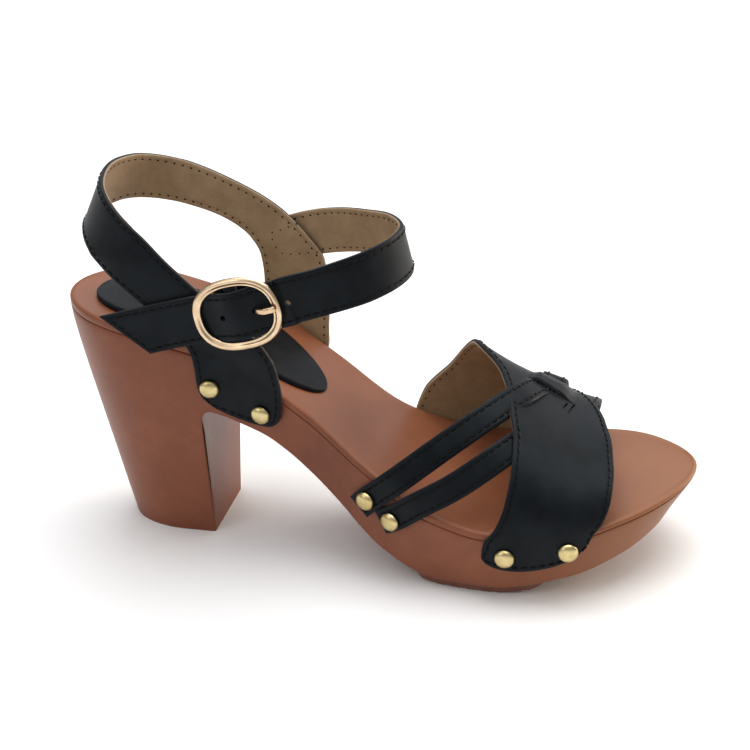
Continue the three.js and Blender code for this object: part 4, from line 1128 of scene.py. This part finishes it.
# %% [markdown]
# ## The two cross straps
# Two narrow straps start at one pair of nails on the outer wall and cross the foot. The rear one
# runs over the band and dives below the bridge. The front one runs below the band. Both are made
# from a centre line on the foot's surface, with their lift off it given in the table.

# %% Tables of the cross straps
CROSS_STRAP_WIDTH = 10.0
REAR_CROSS_STRAP = table("place turn lift", [
    (0.4952, -18, 1.3), (0.5108, -11.4, 1.3), (0.531, -3.6, 1.3), (0.5501, 2.4, 1.3), (0.5703, 8.9, -0.3),
    (0.5889, 16.3, -3.7), (0.6317, 35.7, -6.7), (0.6741, 56.3, -3.0), (0.7154, 74, 3.0), (0.7335, 84, 3.3),
    (0.7405, 89, 3.0), (0.7455, 93, 2.3), (0.749, 97, 1.4), (0.753, 101, 0.4), (0.7557, 106, -0.3),
    (0.7595, 114, -0.3), (0.762, 119, 0.8), (0.7635, 124, 3.6), (0.764, 129, 4.3), (0.764, 135, 4.1),
    (0.7635, 142, 3.5), (0.7627, 150, 3.1), (0.7587, 166, 1.8), (0.7537, 180, 1.3), (0.7486, 189, 1.3),
    (0.7446, 196, 1.3),
])
FRONT_CROSS_STRAP = table("place turn lift", [
    (0.532, -16.3, 1.3), (0.5521, -11.1, 1.3), (0.5753, -2.7, 1.3), (0.5975, 3.3, 1.3), (0.6237, 9.1, -0.3),
    (0.6504, 16.9, -0.9), (0.6902, 33.3, -0.8), (0.7199, 46.8, 0.1), (0.7506, 62, 0.2), (0.7819, 82, 0.2),
    (0.806, 100, 0.2), (0.8181, 118, 0.8), (0.8191, 138, 1.3), (0.8151, 158, 1.3), (0.8081, 178, 1.3),
    (0.803, 188, 1.3), (0.799, 194, 1.3),
])


print("rows of the cross straps:", len(REAR_CROSS_STRAP["place"]), "and", len(FRONT_CROSS_STRAP["place"]))


# %% Cross straps
def strap_grids(centre, normal):
    """Outer and inner grids of a level strip along a centre line."""
    length = run_length(centre)
    near = np.array((0.0, 0.25, 0.6, 1.1, 1.6, 2.0, 2.4, 3.0))
    middle = np.linspace(near[-1] + 1, length[-1] - near[-1] - 1, 90)
    places = np.concatenate([near, middle, (length[-1] - near)[::-1]])
    centre, normal = at_length(centre, length, places), unit(at_length(normal, length, places))
    along = unit(np.gradient(centre, axis=0))
    across = unit(np.cross(along, normal))
    normal = np.cross(across, along)
    reach = (seam_spaced(CROSS_STRAP_WIDTH, 7) - 0.5) * CROSS_STRAP_WIDTH
    middle = centre[:, None] + across[:, None] * reach[None, :, None]
    return middle + normal[:, None] * LEATHER / 2, middle - normal[:, None] * LEATHER / 2


PULL = 16


def pulled(values, share):
    """Draws a run of points straighter, as tension does, as far as share says."""
    bell = np.exp(-(np.arange(-2 * PULL, 2 * PULL + 1) / PULL) ** 2)
    bell /= bell.sum()
    padded = np.pad(values, ((2 * PULL, 2 * PULL), (0, 0)), mode="reflect", reflect_type="odd")
    smooth = np.stack([np.convolve(padded[:, a], bell, "valid") for a in range(3)], 1)
    return values + (smooth - values) * share[:, None]


def cross_strap_grids(rows, held):
    """The strap is pulled straight up to the turn where the band holds it."""
    rows = dict(rows, at=np.linspace(0, 1, len(rows["turn"])))
    t = np.linspace(0, 1, 240)
    at, turn, lift = all_columns(rows, "place turn lift", t)
    share = 1 - smoothstep(held - 14, held, turn)
    centre, normal = pulled(on_foot(at, turn, lift), share), pulled(foot_normal(at, turn), share)
    return strap_grids(centre, unit(normal))


rear_outer, rear_inner = cross_strap_grids(REAR_CROSS_STRAP, held=84)
front_outer, front_inner = cross_strap_grids(FRONT_CROSS_STRAP, held=82)
leather_piece("rear_cross_strap", rear_outer, rear_inner, layers=DYED_THROUGH, under=LEATHER_FACE)
leather_piece("front_cross_strap", front_outer, front_inner, layers=DYED_THROUGH, under=LEATHER_FACE)
stitches("rear_cross_stitches", *seam_path(rear_outer))
stitches("front_cross_stitches", *seam_path(front_outer))

# %% [markdown]
# ## The heel strap
# The outer stay, the strap round the back of the heel and the inner quarter are cut in one piece.
# It goes round the heel at its own slant and is nailed to the side walls at both ends. The lining
# shows on most of it, so its inner face has its own grid, grain and needle dots.

# %% Heel strap
HEEL_STRAP = table("fore high aft low bulge", [
    (-171, 0.573, -123.5, 0.655, -0.03), (-173.5, 0.7, -120, 0.723, 0), (-171, 0.83, -119, 0.83, 0),
    (-161.5, 0.939, -113, 0.931, 0), (-135, 1.085, -96, 1.047, 0), (-109, 1.238, -74.4, 1.146, 0),
    (-85, 1.381, -50, 1.234, 0), (-50, 1.473, -24, 1.276, 0), (0, 1.514, 2, 1.289, 0),
    (45, 1.504, 38, 1.306, 0), (90, 1.447, 81, 1.266, 0), (120, 1.372, 112, 1.207, 0),
    (146, 1.277, 129.5, 1.128, 0), (166, 1.154, 136, 1.048, 0), (178, 1.032, 137.5, 0.952, 0),
    (180, 0.851, 137.3, 0.83, 0), (180, 0.702, 136, 0.734, 0), (177, 0.606, 139, 0.67, -0.035),
])
HEEL_STRAP["at"] = np.linspace(0, 1, 18)
CORNER = {"length": 0.024, "width": 0.16}


def heel_grids(v, u):
    """Outer and inner grids. The rows near both ends are shorter, which rounds the four corners."""
    short = np.clip(1 - np.minimum(v, 1 - v) / CORNER["length"], 0, 1)
    inset = CORNER["width"] * (1 - np.sqrt(1 - short ** 2))[:, None]
    v, u = v[:, None], inset + u[None, :] * (1 - 2 * inset)
    fore, high, aft, low, bulge = all_columns(HEEL_STRAP, "fore high aft low bulge", v)
    rise = low + (high - low) * u + bulge * np.sin(np.pi * u)
    turn = aft + (fore - aft) * u
    inner = on_heel(turn, SEAT_HEIGHT * rise)
    return inner + heel_normal(turn, SEAT_HEIGHT * rise) * LEATHER, inner


ends = np.array([0, 0.001, 0.002, 0.0035, 0.005, 0.0065, 0.008, 0.01, 0.013, 0.0165, 0.0205, 0.0245])
v_rows = np.concatenate([ends, np.linspace(0.029, 0.971, 184), 1 - ends[::-1]])
heel_outer, heel_inner = heel_grids(v_rows, seam_spaced(22.0, 16))
leather_piece("heel_strap_leather", heel_outer, heel_inner, "heel_strap")
stitches("heel_strap_stitches", *seam_path(heel_outer))

# %% Needle dots of the heel strap
# the ankle strap is sewn on from outside, which shows as a rectangle of holes in the lining
corners = [(176, 101.5), (165, 100.6), (153, 99.5), (148, 100.5), (145, 104), (143, 108), (152, 110),
           (163, 113)]
turns, heights = (np.array(c, float) for c in zip(*corners))
share, fine = np.linspace(0, 1, len(corners)), np.linspace(0, 1, 60)
turns, heights = np.interp(fine, share, turns), np.interp(fine, share, heights)
sewn = (on_heel(turns, heights), -heel_normal(turns, heights))
lining_holes("heel_strap_lining_dots", seam_path(heel_inner, side=-1), sewn)

# %% [markdown]
# ## The buckle and the ankle strap
# The strap is sewn to the inner quarter, goes round the front of the ankle and weaves through the
# oval buckle: under its rear end, over its bar, and under its front end, where the prong comes up
# through a punched hole. Both keep the buckle's tilt, so they share one small frame of axes.

# %% Buckle axes and sizes
BUCKLE = {"length": 32.8, "height": 27.0, "wire": 3.0, "thick": 2.2, "bar": 2.4, "bar_thick": 1.2}
STRAP_WIDTH, STRAP_THICK, LOOP_THICK, LOOP_LENGTH, PRONG = 18.0, 1.9, 0.8, 20.8, 2.2
tilt = np.radians(15)
BUCKLE_PLACE = np.array([
    LENGTH * 0.3179,
    -(BACK_HALF + LEATHER + CLEARANCE + STRAP_THICK + CLEARANCE + BUCKLE["thick"] / 2 + 0.4),
    SEAT_HEIGHT * 1.076,
])
BAR_INSET = (BUCKLE["thick"] - BUCKLE["bar_thick"]) / 2 + 0.75
OVER_BAR = BAR_INSET - BUCKLE["bar_thick"] / 2 - CLEARANCE - LOOP_THICK - CLEARANCE - STRAP_THICK / 2
UNDER_WIRE = BUCKLE["thick"] / 2 + CLEARANCE + STRAP_THICK / 2


def from_buckle(x, y, z):
    x, y, z = np.broadcast_arrays(*(np.asarray(v, float) for v in (x, y, z)))
    return BUCKLE_PLACE + points(x * np.cos(tilt) - z * np.sin(tilt), y, x * np.sin(tilt) + z * np.cos(tilt))


print("buckle centre in the frame:", np.round(to_frame(BUCKLE_PLACE)[0], 4))

# %% [markdown]
# The strap's middle line is a Catmull-Rom curve, which passes through every point it is given. The
# centripetal kind is used, since it makes no loops where the points stand close together.

# %% Middle line of the ankle strap
ANKLE_STRAP = [
    (0.2771, 0.378, 1.075), (0.3526, 0.386, 1.138), (0.4071, 0.346, 1.175), (0.4665, 0.25, 1.21),
    (0.5159, 0.137, 1.234), (0.544, 0.0, 1.236), (0.538, -0.13, 1.225), (0.5038, -0.27, 1.205),
    (0.4433, -0.367, 1.17), (0.397, -0.394, 1.138),
]
STRAP_LEAN, LEAN_FROM, LEAN_TO, TO_BUCKLE = np.radians(13), (0.07, 0.18), (0.36, 0.44), (0.46, 0.56)
TIP_SLANT, TIP_LENGTH = 0.78, 18


def curve_points(knots, t):
    """A centripetal Catmull-Rom curve: an equal share of t for each gap between knots."""
    knots = np.asarray(knots, float)
    full = np.concatenate([[2 * knots[0] - knots[1]], knots, [2 * knots[-1] - knots[-2]]])
    place = np.clip(np.asarray(t, float), 0, 1) * (len(knots) - 1)
    i = np.minimum(place.astype(int), len(knots) - 2)
    w = (place - i)[:, None]
    p0, p1, p2, p3 = (full[i + k] for k in range(4))
    d0, d1, d2 = (np.sqrt(np.linalg.norm(b - a, axis=1))[:, None] for a, b in ((p0, p1), (p1, p2), (p2, p3)))
    leave = ((p1 - p0) / d0 - (p2 - p0) / (d0 + d1) + (p2 - p1) / d1) * d1
    arrive = ((p2 - p1) / d1 - (p3 - p1) / (d1 + d2) + (p3 - p2) / d2) * d1
    bend = -3 * p1 + 3 * p2 - 2 * leave - arrive
    return p1 + leave * w + bend * w ** 2 + (2 * p1 - 2 * p2 + leave + arrive) * w ** 3


reach = BUCKLE["length"] / 2
arch = [(1, UNDER_WIRE), (0.84, UNDER_WIRE - 0.1), (0.5, UNDER_WIRE - 1.7), (0.12, OVER_BAR)]
through = [(reach * x, y) for x, y in arch] + [(-reach * x, y) for x, y in arch[::-1]]
tail = from_buckle([-reach * 1.6, -reach * 2.75], 0, [0, -0.4])
tail[:, 1] = -(BACK_HALF + LEATHER + CLEARANCE + 0.2 + STRAP_THICK / 2)
knots = np.concatenate([
    np.array(ANKLE_STRAP) * [LENGTH, BALL_WIDTH, SEAT_HEIGHT],
    from_buckle(*np.transpose(through), 0),
    tail,
])
print("ankle strap through", len(knots), "points")


# %% Ankle strap
def ankle_grids():
    fine = np.linspace(0, 1, 2000)
    line = curve_points(knots, fine)
    length = run_length(line)
    near = np.array([0, 0.25, 0.6, 1.0, 1.4, 1.8, 2.2, 2.7, 3.4])
    middle = np.linspace(near[-1] + 1, length[-1] - near[-1] - 1, 210)
    places = np.concatenate([near, middle, (length[-1] - near)[::-1]])
    t = np.interp(places, length, fine)
    centre = curve_points(knots, t)
    along = unit(curve_points(knots, np.minimum(t + 1e-4, 1)) - curve_points(knots, np.maximum(t - 1e-4, 0)))
    inside = unit(np.cross(along, UP))
    lean_in = (STRAP_LEAN * smoothstep(*LEAN_FROM, t) * (1 - smoothstep(*LEAN_TO, t)))[:, None]
    turned = from_buckle(0, 0, 1) - BUCKLE_PLACE
    share = (1 - smoothstep(*TO_BUCKLE, t))[:, None]
    upward = (turned + (UP - turned) * share) * np.cos(lean_in) + inside * np.sin(lean_in)
    across = unit(upward - along * np.sum(upward * along, axis=1, keepdims=True))
    normal = np.cross(across, along)
    u = 2 * seam_spaced(STRAP_WIDTH, 12) - 1
    slant = TIP_SLANT * STRAP_WIDTH / 2 * smoothstep(length[-1] - TIP_LENGTH, length[-1], places)
    middle = centre[:, None] + across[:, None] * (u * STRAP_WIDTH / 2)[None, :, None]
    middle = middle + along[:, None] * (slant[:, None] * u[None, :])[..., None]
    return middle + normal[:, None] * STRAP_THICK / 2, middle - normal[:, None] * STRAP_THICK / 2


strap_outer, strap_inner = ankle_grids()
ankle = leather_piece("ankle_strap_leather", strap_outer, strap_inner, "ankle_strap")
stitches("ankle_strap_stitches", *seam_path(strap_outer))
lining_holes("ankle_strap_lining_dots", seam_path(strap_inner, side=-1))


# %% [markdown]
# ## Holes and prong
# A tube along a curve gives the prong, and the same tube with a larger radius is the cutter for its
# hole in the strap. The free holes on both sides are cut with plain round punches.

# %% Tube and prong
def rounded(turn, power):
    """Cosine and sine of a turn, squared off by a power below 1."""
    return (np.sign(k) * np.abs(k) ** power for k in (np.cos(turn), np.sin(turn)))


def tube_rows(line, radii, turns, flat=1.0):
    """Rings round a line, with one radius for each of its points. A flat below 1 makes it a strip."""
    line = np.asarray(line, float)
    along = unit(np.gradient(line, axis=0))
    side = unit(np.cross(along, from_buckle(0, 0, 1) - BUCKLE_PLACE))
    up = np.cross(side, along)
    c, s = rounded(full_turn(turns), 0.55 if flat < 1 else 1)
    ring = flat * c[None, :, None] * side[:, None] + s[None, :, None] * up[:, None]
    return line[:, None] + ring * np.asarray(radii)[:, None, None]


def punch(line, radius):
    return cutter("punch", tube_rows(line, np.full(len(line), radius), 20))


HOLE_PITCH, HOLE_RADIUS, FIRST_HOLE = 12.0, 1.1, 7.0
rest = -(BUCKLE["thick"] / 2 + CLEARANCE + PRONG / 2 + 0.1)
tip = BUCKLE["length"] / 2 - BUCKLE["wire"] / 2
first = BUCKLE["bar"] / 2 + CLEARANCE + LOOP_THICK + 2 * CLEARANCE + PRONG / 2
prong_knots = from_buckle([first, first + 2.4, first + 4.6, first + 7.2, tip - 2, tip + 0.6],
                          [BAR_INSET - 0.2, BAR_INSET - 0.8, BAR_INSET - 2.8, rest - 0.2, rest, rest], 0)
prong_line = curve_points(prong_knots, np.linspace(0, 1, 60))
length = run_length(prong_line)
to_tip = np.minimum(length[-1] - length, 1)
radii = PRONG / 2 * np.sqrt(np.clip(1 - (1 - to_tip) ** 2, 0.01, 1))
rows = tube_rows(prong_line, radii, 24, flat=0.72)
make_piece("gold_prong", rows, capped(*rows.shape[:2]), [gold], "gold_metal", "buckle_prong", sharp=60)
holes = [punch(from_buckle([FIRST_HOLE + HOLE_PITCH * k] * 2, [-6, 8], 0), HOLE_RADIUS) for k in (-1, 1)]
holes.append(punch(prong_line, PRONG / 2 + 0.25))
cut_with(ankle, holes)


# %% [markdown]
# ## The buckle
# The frame is cast with a flat top and two chamfers, polished, and plated in pale gold. Its section
# has true corners, so each chamfer catches its own line of light. The bar and the leather loop round
# it are mostly hidden by the strap, and so is the oval tab that the loop is folded from.

# %% Buckle frame and bar
BUCKLE_SECTION = [
    (-1.5, -0.3), (-1.5, 0.3), (-1.36, 0.5), (-0.86, 0.52), (-0.62, 0.66), (-0.34, 1.02), (-0.1, 1.16),
    (0.4, 1.2), (0.8, 1.08), (1.2, 0.74), (1.42, 0.35), (1.5, -0.3), (1.25, -0.85), (0.9, -1.08),
    (-0.9, -1.08), (-1.25, -0.85),
]
half_x, half_z = (BUCKLE["length"] - BUCKLE["wire"]) / 2, (BUCKLE["height"] - BUCKLE["wire"]) / 2
sections = []
for x, z in zip(*rounded(full_turn(120), 2 / 2.4)):
    sections.append([from_buckle(x * (half_x + out), -rise, z * (half_z + out))
                     for out, rise in BUCKLE_SECTION])
rows = np.array(sections)
size = len(BUCKLE_SECTION)
bar_section = [(-1.2, -0.35), (-0.95, -0.6), (0.95, -0.6), (1.2, -0.35), (1.2, 0.35), (0.95, 0.6),
               (-0.95, 0.6), (-1.2, 0.35)]
bar = np.array([[from_buckle(x, BAR_INSET + y, z) for x, y in bar_section] for z in (-half_z, half_z)])
corners = np.concatenate([rows.reshape(-1, 3), bar.reshape(-1, 3)])
faces = run_faces(120, size, ring=True) + capped(2, 8, start=120 * size)
make_piece("gold_buckle", corners, faces, [gold], "gold_metal", "buckle_frame", sharp=24)


# %% Leather loop round the bar
half_w, half_t = BUCKLE["bar"] / 2 + CLEARANCE, BUCKLE["bar_thick"] / 2 + CLEARANCE
c, s = rounded(full_turn(32), 0.5)
hole = np.stack([c * half_w, s * half_t], 1)
outside = np.stack([c * (half_w + LOOP_THICK), s * (half_t + LOOP_THICK)], 1)
rings = []
for share, trim in ((-0.5, 0.82), (-0.485, 1.0), (0.485, 1.0), (0.5, 0.82), (0.5, 0.0), (-0.5, 0.0)):
    ring = hole + (outside - hole) * trim
    rings.append([from_buckle(x, BAR_INSET + y, LOOP_LENGTH * share) for x, y in ring])
ring_corners = np.array(rings).reshape(-1, 3)
faces = run_faces(6, 32, ring=True) + capped(5, 48, start=len(ring_corners))
back = -(BACK_HALF + LEATHER + CLEARANCE) - BUCKLE_PLACE[1]
c, s = rounded(full_turn(48), 0.8)
tab = np.array([from_buckle(c * (11.5 - inset) - 0.5, back + rise, s * (9.7 - inset))
                for rise, inset in ((-0.35, 0.5), (-0.3, 0.1), (-0.15, 0), (0.6, 0), (0.75, 0.3))])
corners = np.concatenate([ring_corners, tab.reshape(-1, 3)])
make_piece("leather_loop", corners, faces, [outer_leather], "black_leather", "buckle_loop", sharp=50)


# %% [markdown]
# ## Nails
# Twelve domed nails hold the straps to the platform. They are all the same lathe shape: a thin rim
# and a low dome. Each one is turned to stand square on its leather.

# %% Domed nails
FOOT_NAILS = [(0.5108, -11.4), (0.5521, -11.1), (0.7275, -7.7), (0.8191, -5),
              (0.5743, 189.5), (0.6599, 188.5), (0.7486, 189), (0.803, 188)]
HEEL_NAILS = [(-128, 0.724), (-160, 0.629), (146, 0.724), (171, 0.67)]
NAIL_RADIUS, NAIL_HEIGHT = 3.65, 2.1
dome = np.linspace(0, np.pi / 2, 10)
profile = [(0.0, 0.0), (NAIL_RADIUS - 0.12, 0.0), (NAIL_RADIUS, 0.12), (NAIL_RADIUS, 0.34)]
profile += [(NAIL_RADIUS * np.cos(q) * 0.99, 0.4 + (NAIL_HEIGHT - 0.4) * np.sin(q)) for q in dome]
places = []
for at, turn in FOOT_NAILS:
    out = foot_normal(at, turn)
    places.append((on_foot(at, turn, CLEARANCE) + out * (LEATHER + CLEARANCE), out))
for turn, high in HEEL_NAILS:
    out = heel_normal(turn, high * SEAT_HEIGHT)
    places.append((on_heel(turn, high * SEAT_HEIGHT) + out * (LEATHER + SEAM), out))


def nail(number, point, out):
    side = unit(np.cross(UP, out))
    up = np.cross(out, side)
    angle = full_turn(40)[:, None]
    ring = np.cos(angle) * side + np.sin(angle) * up
    rows = np.stack([point + ring * max(r, 0.01) + out * h for r, h in profile])
    make_piece(f"brass_nail_{number}", rows, run_faces(len(profile), 40), [brass], "brass_nail",
               f"nail_{number}", sharp=40)


for i, (point, out) in enumerate(places):
    nail(i + 1, point, out)

# %% [markdown]
# ## Studio
# The shoe stands on a plain pale floor in a bright, soft room. One large light hangs overhead and a
# bluish one stands behind, and together they give the leather its grey sheen. A weak one at the left
# front and a warm one at the right keep the colour of the walls and of the heel's breast. A very wide
# sun stands for the sky. The Standard view keeps white white, as in the photo.

# %% Floor
floor_mesh = bpy.data.meshes.new("floor")
floor_mesh.from_pydata([(-4, -4, 0), (4, -4, 0), (4, 4, 0), (-4, 4, 0)], [], [(0, 1, 2, 3)])
floor = linked("floor", floor_mesh)
pale, tree, shader = finish("pale_floor", (0.9, 0.9, 0.9), 0.8)
grain = noise(tree, place_of(tree), 3.0)
vary_roughness(tree, shader, grain, 0.75, 0.85)
bump(tree, shader, [(grain, 0.02, 0.1)])
floor_mesh.materials.append(pale)

# %% Room and lights
world = bpy.data.worlds.new("room")
bpy.context.scene.world = world
world.use_nodes = True
air = world.node_tree.nodes["Background"].inputs
air["Color"].default_value = (1, 1, 1, 1)
air["Strength"].default_value = 0.36
bpy.context.scene.view_settings.view_transform = "Standard"


def area_light(name, place, target, size, watts, colour=(1, 1, 1)):
    light = bpy.data.lights.new(name, "AREA")
    light.shape = "RECTANGLE"
    light.size, light.size_y = size
    light.energy = watts
    light.color = colour
    lamp = linked(name, light)
    lamp.location = place
    lamp.rotation_euler = (Vector(target) - Vector(place)).to_track_quat("-Z", "Y").to_euler()


area_light("overhead", (0.05, 0.2, 1.3), (0, 0, 0.05), (1.3, 1.0), 13)
area_light("behind", (0.1, 1.7, 0.95), (0, 0, 0.08), (2.2, 0.9), 6, (0.88, 0.94, 1))
area_light("left_front", (-0.9, -1.1, 0.9), (0, 0, 0.06), (0.7, 0.9), 3.5)
area_light("right_back", (1.15, 0.8, 0.42), (-0.04, 0, 0.03), (0.6, 0.6), 10.5, (1, 0.87, 0.68))
sky = linked("sky", bpy.data.lights.new("sky", "SUN"))
sky.data.energy = 1.0
sky.data.angle = np.radians(100)

# %% [markdown]
# ## Camera
# The photo was taken from the outer side, a little towards the toe and from above. A long lens keeps
# the heel and the toe at nearly the same scale.

# %% Camera
AZIMUTH, ELEVATION, ROLL, DISTANCE = np.radians(12.2), np.radians(24.5), np.radians(-1.0), 620.0
TARGET = np.array([117.095, 0.0, 64.449])
right = np.array([np.cos(AZIMUTH), np.sin(AZIMUTH), 0.0])
back = np.array([right[1], -right[0], 0.0]) * np.cos(ELEVATION) + UP * np.sin(ELEVATION)
up = np.cross(back, right)
turned_right = right * np.cos(ROLL) + up * np.sin(ROLL)
turned_up = up * np.cos(ROLL) - right * np.sin(ROLL)
camera_data = bpy.data.cameras.new("camera")
camera_data.lens = 79.16
camera_data.sensor_width = 36.0
camera = linked("camera", camera_data)
place = to_frame(TARGET + back * DISTANCE)[0]
camera.matrix_world = Matrix([*zip(turned_right, turned_up, back, place), (0, 0, 0, 1)])
bpy.context.scene.camera = camera
print("camera at", [round(v, 3) for v in camera.matrix_world.translation])
